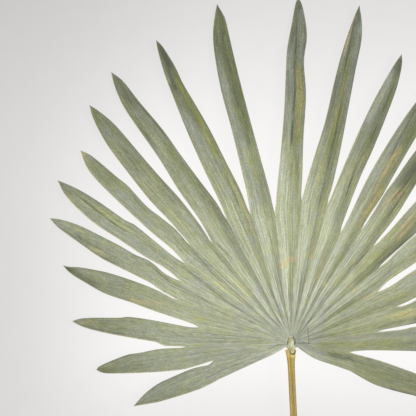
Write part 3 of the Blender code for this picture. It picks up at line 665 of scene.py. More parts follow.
def pleat_depth(index, across, radius):
    """How far a pleat lies below its ridges, when it climbs where this segment's does."""
    steps, heights = pleat_heights()
    lean = np.interp(radius, STEEP_RADII, STEEP_PLACES[index]) - PLEAT_STEEPEST
    start = np.interp(-lean % 1, steps, heights)
    return start - np.interp((across - lean) % 1, steps, heights)


def side_of(across, crease):
    """Shares across a segment, with its crease brought to the middle."""
    return np.interp(across, (0, crease, 1), (0, 0.5, 1))


def ribs(index, across):
    """The height of a segment's fine ribs, as a share of its width."""
    return RIB_HEIGHT * sum(np.exp(-(((across - place) / RIB_WIDTH) ** 2)) for place in RIBS[index])


def vein_cover(index, kind, across, radius, width, share_free):
    """How strongly the pale veins of the joined part, or the painted shade lines beside them, cover places.
    """
    if kind not in VEINS:
        return np.zeros(len(across))
    strength, aside = VEINS[kind]
    strength *= smoothstep(VEIN_START, VEIN_FULL, radius) * (1 - smoothstep(0.0, VEIN_END, share_free))
    gaps = [((across - place) * width - aside) / (BLUR * VEIN_WIDTH) for place in RIBS[index]]
    return strength * sum(np.exp(-(gap**2)) for gap in gaps)


def mark_cover(index, kind, across, radius, width):
    """How strongly a kind of mark covers places on one row of a segment."""
    cover = np.zeros(len(across))
    for strength, mark_width, *points in MARKS[kind].get(index + 1, ()):
        radii, shares = points[::2], points[1::2]
        centre = np.interp(radius, radii, shares) / 100
        inside = smoothstep(radii[0] - MARK_FADE, radii[0] + MARK_FADE, radius)
        inside *= 1 - smoothstep(radii[-1] - MARK_FADE, radii[-1] + MARK_FADE, radius)
        aside = (across - centre) * width / (BLUR * mark_width)
        cover = np.maximum(cover, strength / 100 * inside * np.exp(-(aside**2)))
    return cover


def segment_grid(index):
    """Points across and along one segment, and what its material needs to know at each."""
    segment = SEGMENTS[index]
    near_inwards = 0 if index == 0 else 1
    far_inwards = 0 if index == len(SEGMENTS) - 1 else -1
    near = ridge(index) + free_edge(SPLITS[index], segment.near, segment.tip, near_inwards)
    far = ridge(index + 1) + free_edge(SPLITS[index + 1], segment.far, segment.tip, far_inwards)
    droop = segment.rise + BLADE_THICKNESS - dome(segment.tip)
    inwards = half_shares()
    inwards = np.concatenate([inwards, inwards[-2::-1]])
    rows, facts = [], []
    for row, (left, right) in enumerate(zip(near, far)):
        share_free = max(0.0, (row - JOINED_ROWS) / FREE_ROWS)
        width = math.dist(left, right)
        middle = ((left[0] + right[0]) / 2, (left[1] + right[1]) / 2)
        radius = distance_from_hub(middle)
        crease = 0.5 + (segment.crease - 0.5) * math.sqrt(share_free)
        across = np.array(inwards)
        across[:HALF_COLUMNS + 1] *= crease
        across[HALF_COLUMNS:] = 1 - inwards[HALF_COLUMNS:] * (1 - crease)
        slope = fold_slope(radius, share_free, segment.fold)
        rib_size = smoothstep(RIB_START, RIB_FULL, radius) * (1 - share_free) ** 0.5
        depth = pleat_depth(index, across, radius)
        opened = smoothstep(*FOLD_OPENS, share_free)
        depth += opened * (crease_depth(1 - abs(1 - 2 * side_of(across, crease))) - depth)
        sunk = width * (slope / 2 * depth - rib_size * ribs(index, across))
        places = []
        for share, fall in zip(across, sunk):
            x = left[0] + (right[0] - left[0]) * share
            y = left[1] + (right[1] - left[1]) * share
            places.append((x, y, dome((x, y)) + droop * share_free**2 - fall))
        rows.append(places)
        edge = 0.0 if share_free > 0 else NO_EDGE * (1 - (row / JOINED_ROWS) ** NO_EDGE_POWER)
        # Painted shade on the far side of the fold, stronger where the fold is deeper
        lee = min(1, FOLD_SHADE_PER_FOLD * segment.fold) * smoothstep(*FOLD_SHADE_RADII, radius)
        even = np.ones(len(across))
        covers = {
            kind: np.maximum(mark_cover(index, kind, across, radius, width),
                             vein_cover(index, kind, across, radius, width, share_free))
            for kind in TINTS
        }
        facts.append({
            "reach": radius / REACH * even,
            "gloom": TIP_GLOOM[index] * smoothstep(*GLOOM_GROWS, share_free) * even,
            "tone": np.interp(radius, TONE_RADII, SEGMENT_TONE[index]) * even,
            "lee": smoothstep(*FOLD_SHADE_ACROSS, across) * lee,
            "near_edge": edge + across * width,
            "far_edge": edge + (1 - across) * width,
            "lay_u": (across - 0.5) * width + index * SEGMENT_PITCH,
            "share": across + 3 * index,
            "lay_v": radius * even,
            **covers,
        })
    return rows, facts


def to_world():
    """How far the leaf's own plane is from the world, in millimetres, from where the CAD nodes are."""
    blade_low, blade_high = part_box("leaf_blade")
    stem_low, stem_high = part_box("stem")
    across = (blade_low.x + blade_high.x) / 2 / MM - (SEGMENTS[4].tip[0] + SEGMENTS[18].tip[0]) / 2
    return Vector((across, blade_high.y / MM - TOP_Y, stem_low.z / MM))


SHIFT = to_world()


def world(place):
    return (Vector(place) + SHIFT) * MM


def finish_piece(piece, node, material):
    bpy.context.scene.collection.objects.link(piece)
    piece.data.materials.append(material)
    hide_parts(node)
    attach(piece, "root")


class Graph:
    """A material's nodes, built by calls that pass sockets on."""

    def __init__(self, name):
        self.material = bpy.data.materials.new(name)
        self.material.use_nodes = True
        self.tree = self.material.node_tree
        self.shader = self.tree.nodes["Principled BSDF"]

    def node(self, kind, inputs=(), **settings):
        node = self.tree.nodes.new(kind)
        for key, value in settings.items():
            setattr(node, key, value)
        for key, value in dict(inputs).items():
            self.feed(node.inputs[key], value)
        return node

    def feed(self, socket, value):
        if isinstance(value, bpy.types.NodeSocket):
            self.tree.links.new(value, socket)
        elif socket.type == "RGBA" and len(value) == 3:
            socket.default_value = (*value, 1)
        else:
            socket.default_value = value

    def fact(self, name):
        return self.node("ShaderNodeAttribute", attribute_name=name).outputs["Fac"]

    def math(self, operation, first, second=0.0, clamp=False):
        node = self.node("ShaderNodeMath", operation=operation, use_clamp=clamp)
        self.feed(node.inputs[0], first)
        self.feed(node.inputs[1], second)
        return node.outputs[0]

    def times(self, first, *others):
        for other in others:
            first = self.math("MULTIPLY", first, other)
        return first

    def plus(self, first, second):
        return self.math("ADD", first, second)

    def less(self, first, second):
        return self.math("SUBTRACT", first, second)

    def size(self, value):
        return self.math("ABSOLUTE", value)

    def ramp(self, value, low, high, out_low=0.0, out_high=1.0):
        """A smooth change of a value from one range to another."""
        inputs = {"Value": value, "From Min": low, "From Max": high, "To Min": out_low, "To Max": out_high}
        return self.node("ShaderNodeMapRange", inputs, interpolation_type="SMOOTHSTEP").outputs[0]

    def around_one(self, noise, spread):
        """A factor that a noise moves up and down from one."""
        return self.ramp(noise, 0.25, 0.75, 1 - spread, 1 + spread)

    def towards_half(self, noise, kept):
        """A noise with only a share of its ups and downs kept."""
        return self.plus(0.5, self.times(self.less(noise, 0.5), kept))

    def vector(self, x, y, z=0.0):
        return self.node("ShaderNodeCombineXYZ", {"X": x, "Y": y, "Z": z}).outputs[0]

    def vector_math(self, operation, first, second):
        node = self.node("ShaderNodeVectorMath", operation=operation)
        self.feed(node.inputs[0], first)
        self.feed(node.inputs[1], second)
        return node.outputs["Value" if operation in ("DOT_PRODUCT", "DISTANCE") else "Vector"]

    def parts(self, place):
        outputs = self.node("ShaderNodeSeparateXYZ", {"Vector": place}).outputs
        return outputs["X"], outputs["Y"]

    def place(self):
        return self.node("ShaderNodeTexCoord").outputs["Object"]

    def plan(self):
        """Places in the leaf's own plane, in millimetres."""
        place = self.vector_math("MULTIPLY", self.place(), (1 / MM, 1 / MM, 0))
        return self.vector_math("SUBTRACT", place, (SHIFT.x, SHIFT.y, 0))

    def noise(self, vector, scale, detail=2.0, roughness=0.5):
        inputs = {"Vector": vector, "Scale": scale, "Detail": detail, "Roughness": roughness}
        return self.node("ShaderNodeTexNoise", inputs).outputs["Fac"]

    def drawn_out(self, name, across, along):
        """One of the NOISES, drawn out along the fibres."""
        across_scale, along_scale, detail, roughness = NOISES[name]
        place = self.vector(self.times(across, across_scale), self.times(along, along_scale))
        return self.noise(place, 1.0, detail, roughness)

    def mix(self, share, first, second, blend="MIX"):
        node = self.node("ShaderNodeMix", data_type="RGBA", blend_type=blend)
        self.feed(node.inputs[0], share)
        self.feed(node.inputs[6], first)
        self.feed(node.inputs[7], second)
        return node.outputs[2]

    def shaded(self, colour, tone):
        return self.mix(1.0, colour, self.vector(tone, tone, tone), "MULTIPLY")

    def colours(self, value, stops):
        node = self.node("ShaderNodeValToRGB", {"Fac": value})
        elements = node.color_ramp.elements
        for element, (place, colour) in zip(elements, (stops[0], stops[-1])):
            element.position, element.color = place, (*colour, 1)
        for place, colour in stops[1:-1]:
            elements.new(place).color = (*colour, 1)
        return node.outputs["Color"]

    def bump(self, height, distance, strength=1.0):
        inputs = {"Height": height, "Distance": distance, "Strength": strength}
        return self.node("ShaderNodeBump", inputs).outputs["Normal"]

    def finish(self, colour, roughness, normal, **constants):
        self.feed(self.shader.inputs["Base Color"], colour)
        self.feed(self.shader.inputs["Roughness"], roughness)
        self.feed(self.shader.inputs["Normal"], normal)
        for name, value in constants.items():
            self.shader.inputs[name].default_value = value
        return self.material


# The greens of the blade, by the share of the way from the hub to the longest
# tip, the darkness of its tips and the olive of the painted shade on the far
# side of its folds
HUB_GREEN = (0.404, 0.428, 0.314)
MID_GREEN = (0.416, 0.445, 0.298)
OUTER_GREEN = (0.363, 0.388, 0.250)
GREENS = (
    (0.04, HUB_GREEN), (0.16, HUB_GREEN), (0.22, MID_GREEN), (0.34, MID_GREEN), (0.50, OUTER_GREEN),
)
DEEP = (0.120, 0.132, 0.076)
OLIVE_FOLD_SHADE = (0.31, 0.337, 0.170)

# The tints of the marks, in the order in which they are laid over each other
TINTS = {
    "pale": (0.62, 0.65, 0.50),
    "grey": (0.300, 0.325, 0.260),
    "straw": (0.60, 0.60, 0.32),
    "olive": (0.175, 0.200, 0.080),
    "gold": (0.285, 0.305, 0.070),
    "yellow": (0.46, 0.47, 0.16),
    "orange": (0.53, 0.42, 0.20),
    "dark": (0.075, 0.082, 0.050),
}
SPECKLED = ("straw", "yellow", "orange")

# The pale cut edge, and the darker line along the far edge of each segment
RIM_CREAM = (0.76, 0.66, 0.45)
RIM_DRY = (0.56, 0.49, 0.32)
FAR_SHADE = (0.215, 0.235, 0.165)

# Noises drawn out along the fibres: how often they turn in a millimetre across
# and along them, their detail and their roughness. Those of the first row run
# across by shares of a segment, taken as SHARE_WIDTH millimetres wide.
NOISES = {
    "fibres": (0.50, 0.022, 2, 0.55), "strands": (0.85, 0.05, 2, 0.6), "rays": (0.13, 0.05, 1, 0.5),
    "threads": (1.0, 0.12, 2, 0.6), "weave": (0.9, 0.6, 1, 0.5), "patches": (0.11, 0.035, 3, 0.5),
    "dapple": (0.35, 0.14, 3, 0.65), "specks": (0.8, 0.32, 2, 0.7), "dots": (0.8, 0.7, 1, 0.5),
    "grain": (0.9, 0.9, 1, 0.5), "warmth": (0.14, 0.28, 2, 0.5),
    "fine_blue": (0.7, 0.8, 2, 0.5), "blue": (0.12, 0.24, 2, 0.5), "broad_blue": (0.04, 0.09, 2, 0.5),
    "plug_streaks": (0.75, 0.32, 3, 0.65),
    "stem_streaks": (3.5, 0.03, 4, 0.6), "stem_mottle": (5.0, 0.22, 3, 0.6),
}
SHARE_WIDTH = 24.0

# The left side of the fan has fewer specks, away from the hub
CALM_X = (-35.0, 5.0)
CALM_REACH = (0.33, 0.45)
CALM_MOST = 0.65

# How far each noise moves the tone of the blade up and down, and where along
# it, in millimetres, some of them change
TONE_SPREADS = {"rays": 0.16, "fibres": 0.19, "threads": 0.15, "weave": 0.15, "dapple": 0.075}
RAYS_END = (25.0, 75.0)
WEAVE_GROWS = (70.0, 130.0)
GRAIN_GROWS = (15.0, 60.0)
UPRIGHT_HEIGHTS = (0.3, 0.75)


def line_cover(g, place, start, end, width):
    """How strongly a straight line covers a place in the leaf's own plane."""
    run = Vector((end[0] - start[0], end[1] - start[1], 0))
    offset = g.vector_math("SUBTRACT", place, (*start, 0))
    share = g.vector_math("DOT_PRODUCT", offset, run / run.length_squared)
    share = g.math("MAXIMUM", g.math("MINIMUM", share, 1.0), 0.0)
    nearest = g.vector_math("MULTIPLY", g.vector(share, share, share), run)
    gap = g.vector_math("DISTANCE", offset, nearest)
    return g.ramp(gap, 0.25 * width, width, 1.0, 0.0)


def leaf_noises(g, across, along):
    """The noises that the blade's colour and bumps are made of, by name."""
    by_share = g.times(g.fact("share"), SHARE_WIDTH)
    noises = {name: g.drawn_out(name, by_share, along) for name in ("fibres", "strands", "rays")}
    for name in ("threads", "weave", "patches", "dapple", "specks", "dots"):
        noises[name] = g.drawn_out(name, across, along)
    for name in ("grain", "warmth", "fine_blue", "blue", "broad_blue"):
        noises[name] = g.drawn_out(name, along, across)
    return noises


def leaf_green(g, noises):
    """The green of the blade, with painted shade on the far side of its folds, its darker tips and its
    yellow specks.
    """
    patches, reach = noises["patches"], g.fact("reach")
    colour = g.colours(reach, GREENS)
    # Painted shade: the far side of each fold, turned away from the light, goes towards olive
    colour = g.mix(g.times(g.fact("lee"), g.ramp(patches, 0.25, 0.6, 0.08, 0.34)), colour, OLIVE_FOLD_SHADE)
    colour = g.mix(g.fact("gloom"), colour, DEEP)
    x, _ = g.parts(g.plan())
    calm = g.times(g.ramp(x, *CALM_X, CALM_MOST, 0.0), g.ramp(reach, *CALM_REACH))
    away = g.times(g.ramp(reach, 0.05, 0.16), g.less(1.0, calm))
    gold = g.times(g.ramp(patches, 0.42, 0.70), g.ramp(noises["specks"], 0.48, 0.70), away, 0.50)
    colour = g.mix(gold, colour, TINTS["yellow"])
    dots = g.times(g.ramp(noises["dots"], 0.57, 0.67), away, g.ramp(patches, 0.30, 0.60, 0.08, 0.42))
    colour = g.mix(dots, colour, TINTS["yellow"])
    return g.mix(g.times(g.ramp(patches, 0.50, 0.30), 0.30), colour, TINTS["grey"])


def with_marks(g, colour, noises):
    """The colour under the tints of the marks, worn along the fibres, and under the lines."""
    worn = g.ramp(noises["strands"], 0.36, 0.58, 0.35, 1.15)
    speckled = g.times(worn, g.ramp(noises["specks"], 0.42, 0.62, 0.5, 1.3))
    for kind, tint in TINTS.items():
        shown = speckled if kind in SPECKLED else worn
        colour = g.mix(g.math("MULTIPLY", g.fact(kind), shown, clamp=True), colour, tint)
    for kind, strength, width, start, end in LINES:
        cover = g.times(line_cover(g, g.plan(), start, end, width), strength / 100)
        colour = g.mix(cover, colour, TINTS[kind])
    return colour


def with_rim(g, colour):
    """The colour with a cream near edge, fainter towards dark tips, and a shaded far edge."""
    near = g.ramp(g.fact("near_edge"), 0.2, 0.9, 0.75, 0.0)
    near = g.times(near, g.ramp(g.fact("gloom"), 0.1, 0.6, 1.0, 0.3))
    colour = g.mix(near, colour, RIM_CREAM)
    return g.mix(g.ramp(g.fact("far_edge"), 0.2, 1.7, 0.45, 0.0), colour, FAR_SHADE)


def leaf_tone(g, noises, along):
    """How much red, green and blue of the colour is left at each place."""
    place = g.plan()
    _, y = g.parts(place)
    upright = g.ramp(g.math("DIVIDE", y, g.vector_math("DISTANCE", place, (0, 0, 0))), *UPRIGHT_HEIGHTS)
    shown = {
        "rays": g.towards_half(noises["rays"], g.ramp(along, *RAYS_END, 1.0, 0.0)),
        "fibres": g.towards_half(noises["fibres"], g.plus(0.5, g.times(0.5, upright))),
        "threads": noises["threads"],
        "weave": g.towards_half(noises["weave"], g.ramp(along, *WEAVE_GROWS, 0.45, 1.0)),
        "dapple": g.towards_half(noises["dapple"], g.less(1.9, upright)),
    }
    tone = g.times(g.fact("tone"), *(g.around_one(shown[name], TONE_SPREADS[name]) for name in TONE_SPREADS))
    grain = g.towards_half(noises["grain"], g.ramp(along, *GRAIN_GROWS, 0.4, 1.0))
    warm = g.times(g.around_one(grain, 0.035), g.around_one(noises["warmth"], 0.06))
    blue = g.times(g.around_one(grain, 0.03), g.around_one(noises["weave"], 0.02))
    blue = g.times(blue, g.around_one(noises["fine_blue"], 0.03), g.around_one(noises["broad_blue"], 0.09))
    blue = g.times(blue, g.ramp(noises["blue"], 0.2, 0.58, 0.80, 1.045))
    return g.vector(g.times(tone, warm), tone, g.times(tone, blue))


def blade_material():
    g = Graph("woven_leaf")
    along = g.fact("lay_v")
    noises = leaf_noises(g, g.fact("lay_u"), along)
    colour = with_rim(g, with_marks(g, leaf_green(g, noises), noises))
    colour = g.mix(1.0, colour, leaf_tone(g, noises, along), "MULTIPLY")
    height = g.plus(g.times(noises["fibres"], 0.5), g.times(noises["threads"], 0.3))
    height = g.plus(height, g.times(noises["weave"], 0.3))
    roughness = g.ramp(noises["threads"], 0.3, 0.7, 0.48, 0.62)
    constants = {"Specular IOR Level": 0.45, "Sheen Weight": 0.15, "Sheen Roughness": 0.5}
    return g.finish(colour, roughness, g.bump(height, 0.0005), **constants)


def edge_material():
    g = Graph("cut_edge")
    grain = g.noise(g.place(), 900.0, 3.0, 0.6)
    colour = g.colours(grain, ((0.3, RIM_DRY), (0.7, RIM_CREAM)))
    return g.finish(colour, 0.6, g.bump(grain, 0.0001))


# The plug from its darkest streaks to its palest, the cream of its side flares
# and of the painted highlight down its middle, and the painted shade at its outline
PLUG_COLOURS = (
    (0.28, (0.25, 0.25, 0.12)), (0.45, (0.46, 0.46, 0.25)),
    (0.58, (0.62, 0.61, 0.36)), (0.75, (0.78, 0.76, 0.58)),
)
PLUG_CREAM = (0.86, 0.84, 0.66)
PLUG_TAN = (0.42, 0.39, 0.19)
PLUG_OUTLINE_SHADE = (0.12, 0.125, 0.06)
PLUG_COLLAR_Y = -1.6

# Straight lines on the plug and the stem: their ends, in the leaf's own plane,
# and their width in millimetres
# A painted highlight down the middle of the plug
PLUG_GLINT = ((1.4, 3.8), (0.1, -0.4), 1.3)
# Painted contact shadow on the plug, under the left wall of the stem's cup
PLUG_CONTACT_SHADOW = ((-1.6, -5.3), (-1.4, -7.6), 0.9)
STEM_BRUISE_LINE = ((1.2, -38.0), (1.4, -47.0), 3.0)

# The stem from its left side (0) to its right one (1), with a painted highlight
# stripe near its left side, its lip and one bruise
STEM_STRIPES_AND_HIGHLIGHT = (
    (0.02, (0.42, 0.31, 0.12)), (0.20, (0.70, 0.52, 0.135)), (0.36, (0.39, 0.285, 0.08)),
    (0.52, (0.33, 0.245, 0.065)), (0.68, (0.38, 0.275, 0.055)), (0.84, (0.34, 0.26, 0.06)),
    (0.98, (0.26, 0.19, 0.05)),
)
STEM_LIP = (0.82, 0.64, 0.25)
STEM_BRUISE = (0.27, 0.195, 0.12)


def plug_material():
    g = Graph("pale_plug")
    x, along = g.parts(g.plan())
    turn = g.fact("turn")
    streaks = g.drawn_out("plug_streaks", x, along)
    colour = g.colours(streaks, PLUG_COLOURS)
    colour = g.mix(g.ramp(along, 2.0, 7.0, 0.0, 0.12), colour, PLUG_TAN)
    # Painted highlight down the middle of the plug
    colour = g.mix(g.times(line_cover(g, g.plan(), *PLUG_GLINT), 0.75), colour, PLUG_CREAM)
    flares = g.ramp(g.size(g.less(along, PLUG_COLLAR_Y)), 0.8, 2.2, 0.6, 0.0)
    colour = g.mix(g.times(flares, g.ramp(g.size(turn), 0.45, 0.8)), colour, PLUG_CREAM)
    # Painted shade in the gap around the tongue, weaker at its tip and on its right side, with the painted
    # contact shadow under the cup's wall
    outline_shade = g.times(g.ramp(g.size(turn), 0.72, 0.95, 0.0, 0.75), g.ramp(along, 0.0, 2.0))
    outline_shade = g.times(outline_shade, g.ramp(along, 8.5, 6.0, 0.3, 1.0), g.ramp(turn, -0.5, 0.5, 1.0, 0.5))
    outline_shade = g.math("MAXIMUM", outline_shade, g.times(line_cover(g, g.plan(), *PLUG_CONTACT_SHADOW), 0.7))
    # Painted light and shade: the plug is lighter on its left side and darker on its right
    colour = g.shaded(g.mix(outline_shade, colour, PLUG_OUTLINE_SHADE), g.ramp(turn, -0.8, 0.9, 1.1, 0.78))
    return g.finish(colour, g.ramp(streaks, 0.3, 0.7, 0.3, 0.5), g.bump(streaks, 0.0004))


def stem_material():
    g = Graph("mustard_stem")
    _, along = g.parts(g.plan())
    turn = g.fact("turn")
    streaks = g.drawn_out("stem_streaks", turn, along)
    mottle = g.drawn_out("stem_mottle", turn, along)
    # Painted highlight: the pale stripe near the stem's left side
    stripes_and_highlight = g.plus(g.plus(g.times(turn, 0.5), 0.5), g.ramp(streaks, 0.25, 0.75, -0.10, 0.10))
    colour = g.colours(stripes_and_highlight, STEM_STRIPES_AND_HIGHLIGHT)
    bruise = g.ramp(g.size(g.less(turn, 0.12)), 0.05, 0.3, 0.8, 0.0)
    colour = g.mix(g.times(bruise, line_cover(g, g.plan(), *STEM_BRUISE_LINE)), colour, STEM_BRUISE)
    lip = g.times(g.ramp(along, -13.5, -9.0, 0.0, 0.7), g.ramp(turn, 0.55, 0.95, 1.0, 0.35))
    colour = g.mix(lip, colour, STEM_LIP)
    tone = g.times(g.around_one(streaks, 0.15), g.around_one(mottle, 0.18))
    colour = g.shaded(colour, g.times(tone, g.ramp(along, -30.0, -22.0, 1.0, 1.07)))
    height = g.plus(streaks, g.times(mottle, 0.5))
    roughness = g.ramp(streaks, 0.3, 0.7, 0.5, 0.65)
    return g.finish(colour, roughness, g.bump(height, 0.0004), **{"Specular IOR Level": 0.35})


def make_blade():
    bm = bmesh.new()
    names = ("reach", "gloom", "tone", "lee", "near_edge", "far_edge", "lay_u", "lay_v", "share", *TINTS)
    layers = {name: bm.loops.layers.float.new(name) for name in names}
    for index in range(len(SEGMENTS)):
        rows, facts = segment_grid(index)
        made = [[bm.verts.new(world(place)) for place in places] for places in rows]
        for row, (inner, outer) in enumerate(pairwise(made)):
            for column in range(len(inner) - 1):
                corners = ((row, column), (row, column + 1), (row + 1, column + 1), (row + 1, column))
                face = bm.faces.new([made[r][c] for r, c in corners])
                for loop, (r, c) in zip(face.loops, corners):
                    for name in names:
                        loop[layers[name]] = float(facts[r][name][c])
    bmesh.ops.remove_doubles(bm, verts=bm.verts, dist=0.001 * MM)
    for face in bm.faces:
        face.smooth = True
    bmesh.ops.recalc_face_normals(bm, faces=bm.faces)
    mesh = bpy.data.meshes.new("palm_blade")
    bm.to_mesh(mesh)
    bm.free()
    blade = bpy.data.objects.new("palm_blade", mesh)
    finish_piece(blade, "leaf_blade", blade_material())
    blade.data.materials.append(edge_material())
    solidify = blade.modifiers.new("Solidify", "SOLIDIFY")
    solidify.thickness = BLADE_THICKNESS * MM
    solidify.offset = -1
    solidify.material_offset_rim = 1


def loft(name, rings):
    """A closed skin over rings that all have the same number of points."""
    bm = bmesh.new()
    turn = bm.verts.layers.float.new("turn")
    rows = []
    for ring in rings:
        row = []
        for side, place in enumerate(ring):
            vert = bm.verts.new(world(place))
            vert[turn] = math.cos(2 * math.pi * side / len(ring))
            row.append(vert)
        rows.append(row)
    for a, b in pairwise(rows):
        for i in range(len(a)):
            j = (i + 1) % len(a)
            bm.faces.new((a[i], a[j], b[j], b[i]))
    bm.faces.new(reversed(rows[0]))
    bm.faces.new(rows[-1])
    bmesh.ops.recalc_face_normals(bm, faces=bm.faces)
    for face in bm.faces:
        face.smooth = len(face.verts) == 4
    mesh = bpy.data.meshes.new(name)
    bm.to_mesh(mesh)
    bm.free()
    return mesh


def circle(radius):
    return [(radius * math.cos(angle), radius * math.sin(angle)) for angle in TURNS]


def stem_axis(y):
    """The middle of the stem: straight in the cup, then bending aside and down to the floor."""
    top = HUB_HEIGHT - STEM_AXIS_DROP
    past = max(0.0, STEM_STRAIGHT_TO_Y - y)
    bend = past * past / (past + STEM_BEND_LENGTH)
    whole = STEM_STRAIGHT_TO_Y - STEM_END_Y
    end_bend = whole * whole / (whole + STEM_BEND_LENGTH)
    sink = (top - STEM_RADIUS * STEM_FLATNESS) / end_bend
    aside = CUP_LEAN * math.exp(-(((STEM_MOUTH_Y - y) / CUP_FLARE_LENGTH) ** 2))
    return STEM_MIDDLE_X - aside + STEM_LEAN * bend, top - sink * bend


def stem_ring(y, inset=0.0):
    x, z = stem_axis(y)
    flare = CUP_FLARE * math.exp(-(((STEM_MOUTH_Y - y) / CUP_FLARE_LENGTH) ** CUP_FLARE_POWER))
    radius = STEM_RADIUS + flare - inset
    groove = STEM_GROOVE * (1 - smoothstep(STEM_GROOVE_FULL_Y, STEM_GROOVE_START_Y, y))
    ring = []
    for angle in TURNS:
        from_front = math.degrees(math.acos(max(-1, min(1, math.sin(angle)))))
        dip = 1 - groove * math.exp(-((from_front / STEM_GROOVE_DEGREES) ** 2))
        aside, up = radius * dip * math.cos(angle), radius * dip * STEM_FLATNESS * math.sin(angle)
        ring.append((x + aside, y, z + up))
    return ring


def bore_radius(y):
    share = (STEM_MOUTH_Y - y) / (STEM_MOUTH_Y - BORE_END_Y)
    return BORE_MOUTH_RADIUS + (BORE_END_RADIUS - BORE_MOUTH_RADIUS) * share


def cut(owner, name, mesh, operation="DIFFERENCE"):
    """Cut a shape out of its owner, or join it on, and keep only the result."""
    tool = bpy.data.objects.new(name, mesh)
    bpy.context.scene.collection.objects.link(tool)
    boolean = owner.modifiers.new(name, "BOOLEAN")
    boolean.operation = operation
    boolean.object = tool
    graph = bpy.context.evaluated_depsgraph_get()
    result = bpy.data.meshes.new_from_object(owner.evaluated_get(graph))
    owner.modifiers.clear()
    owner.data = result
    bpy.data.objects.remove(tool)


def make_stem():
    cup = np.linspace(STEM_MOUTH_Y - END_CHAMFER, BORE_END_Y, CUP_RINGS)
    shank = np.linspace(0, 1, SHANK_RINGS)[1:] ** SHANK_CROWDING
    shank = shank * (STEM_END_Y + END_CHAMFER - cup[-1]) + cup[-1]
    rings = [stem_ring(STEM_MOUTH_Y, END_CHAMFER)]
    rings += [stem_ring(y) for y in (*cup, *shank)]
    rings.append(stem_ring(STEM_END_Y, END_CHAMFER))
    stem = bpy.data.objects.new("palm_stem", loft("palm_stem", rings))
    finish_piece(stem, "stem", stem_material())

    z = stem_axis(STEM_MOUTH_Y)[1]
    bore = []
    for y in (STEM_MOUTH_Y + BORE_OVERSHOOT, BORE_END_Y):
        bore.append([(PLUG_MIDDLE_X + aside, y, z + up) for aside, up in circle(bore_radius(y))])
    cut(stem, "bore_cutter", loft("bore_cutter", bore))
    x, radius = FRONT_NOTCH_X, FRONT_NOTCH_RADIUS
    start_y, round_y = STEM_MOUTH_Y + FRONT_NOTCH_OVERSHOOT, FRONT_NOTCH_END_Y + radius
    outline = [(x + radius, start_y), (x - radius, start_y)]
    for angle in np.linspace(math.pi, 2 * math.pi, FRONT_NOTCH_SIDES):
        outline.append((x + radius * math.cos(angle), round_y + radius * math.sin(angle)))
    levels = (z + FRONT_NOTCH_FLOOR, z + 2 * STEM_RADIUS + CUP_FLARE)
    notch = [[(px, py, level) for px, py in outline] for level in levels]
    cut(stem, "front_notch_cutter", loft("front_notch_cutter", notch))


def plug_ring(y):
    """A ring of the plug, which goes over from a flat tongue to a round spigot."""
    z = stem_axis(STEM_MOUTH_Y)[1]
    spigot = 1 - smoothstep(STEM_MOUTH_Y - 1, SPIGOT_START_Y, y)
    from_middle = max(0.0, y - HUB[1]) / (NOTCH_HALF_LENGTH - CLEARANCE)
    roundness = max(TONGUE_BLUNTNESS, math.sqrt(max(0, 1 - from_middle**TONGUE_ROUNDNESS)))
    tongue_width = (NOTCH_HALF_WIDTH - TONGUE_EASE) * roundness
    round_radius = bore_radius(min(y, STEM_MOUTH_Y)) - SPIGOT_EASE
    round_radius *= 1 - STEP_SHARE * (1 - smoothstep(STEP_Y - 0.5, STEP_Y + 0.3, y))
    half_width = tongue_width + (round_radius - tongue_width) * spigot
    tongue_height = tongue_width * TONGUE_FLATNESS
    half_height = tongue_height + (round_radius - tongue_height) * spigot
    half_width += SHOULDER * math.exp(-(((y - SHOULDER_Y) / SHOULDER_LENGTH) ** 2))
    x = NOTCH_MIDDLE[0] + (PLUG_MIDDLE_X - NOTCH_MIDDLE[0]) * spigot
    return [(x + half_width * math.cos(angle), y, z + half_height * math.sin(angle)) for angle in TURNS]


def make_plug():
    tip_y = HUB[1] + NOTCH_HALF_LENGTH - CLEARANCE
    tongue = tip_y - (tip_y - STEM_MOUTH_Y) * np.linspace(0, 1, TONGUE_RINGS) ** TONGUE_CROWDING
    spigot = np.linspace(STEM_MOUTH_Y - 0.5, SPIGOT_END_Y, SPIGOT_RINGS)
    rings = [plug_ring(y) for y in (*tongue, *spigot)]
    plug = bpy.data.objects.new("hub_tongue", loft("hub_tongue", rings))
    finish_piece(plug, "hub_plug", plug_material())
    top = HUB_HEIGHT - BLADE_THICKNESS - CLEARANCE
    flange = [
        [(HUB[0] + px, HUB[1] + py, height) for px, py in circle(FLANGE_RADIUS)]
        for height in (top, top - FLANGE_THICKNESS)
    ]
    cut(plug, "flange", loft("flange", flange), "UNION")


# The camera looks straight down on the middle of the photo
PHOTO_MIDDLE = (-83.0, 137.0, 8.0)
CAMERA_HEIGHT = 4.0
LENS = 345.5
SENSOR = 36

# One broad soft light, and even light from all round
LIGHT_DISTANCE = 4.0
LIGHT_ELEVATION = math.radians(40)
LIGHT_AZIMUTH = math.radians(-12)
LIGHT_POWER = 96.0
LIGHT_SIZE = 1.8
AMBIENT = 0.60

# The pale floor shines softly by itself. It is darker towards the left, the
# top and the bottom: where each shade starts and ends, in metres, and how
# strong it is. The left shade reaches less far in, and is weaker, at the top.
FLOOR_HALF = 4.0
FLOOR_BRIGHT = 0.93
FLOOR_TINT = (1.0, 0.99, 0.978, 1)
FLOOR_GREYS = ((0.3, (0.045, 0.045, 0.044)), (0.7, (0.055, 0.055, 0.054)))
TOP_SHADE_Y = (0.17, 0.47)
TOP_SHADE = 0.30
LEFT_SHADE_X = (-0.31, -0.115)
LEFT_SHADE = 0.30
LEFT_LONGER_AT_TOP = 0.45
LEFT_WEAKER_AT_TOP = 0.35
BOTTOM_SHADE_Y = (-0.05, 0.045)
BOTTOM_SHADE = 0.16
BOTTOM_WEAKER_AT_LEFT = 3.3

# Further from the middle of the photo the floor is even
EVEN_FROM = (0.30, 0.75)
EVEN_BRIGHT = 0.82


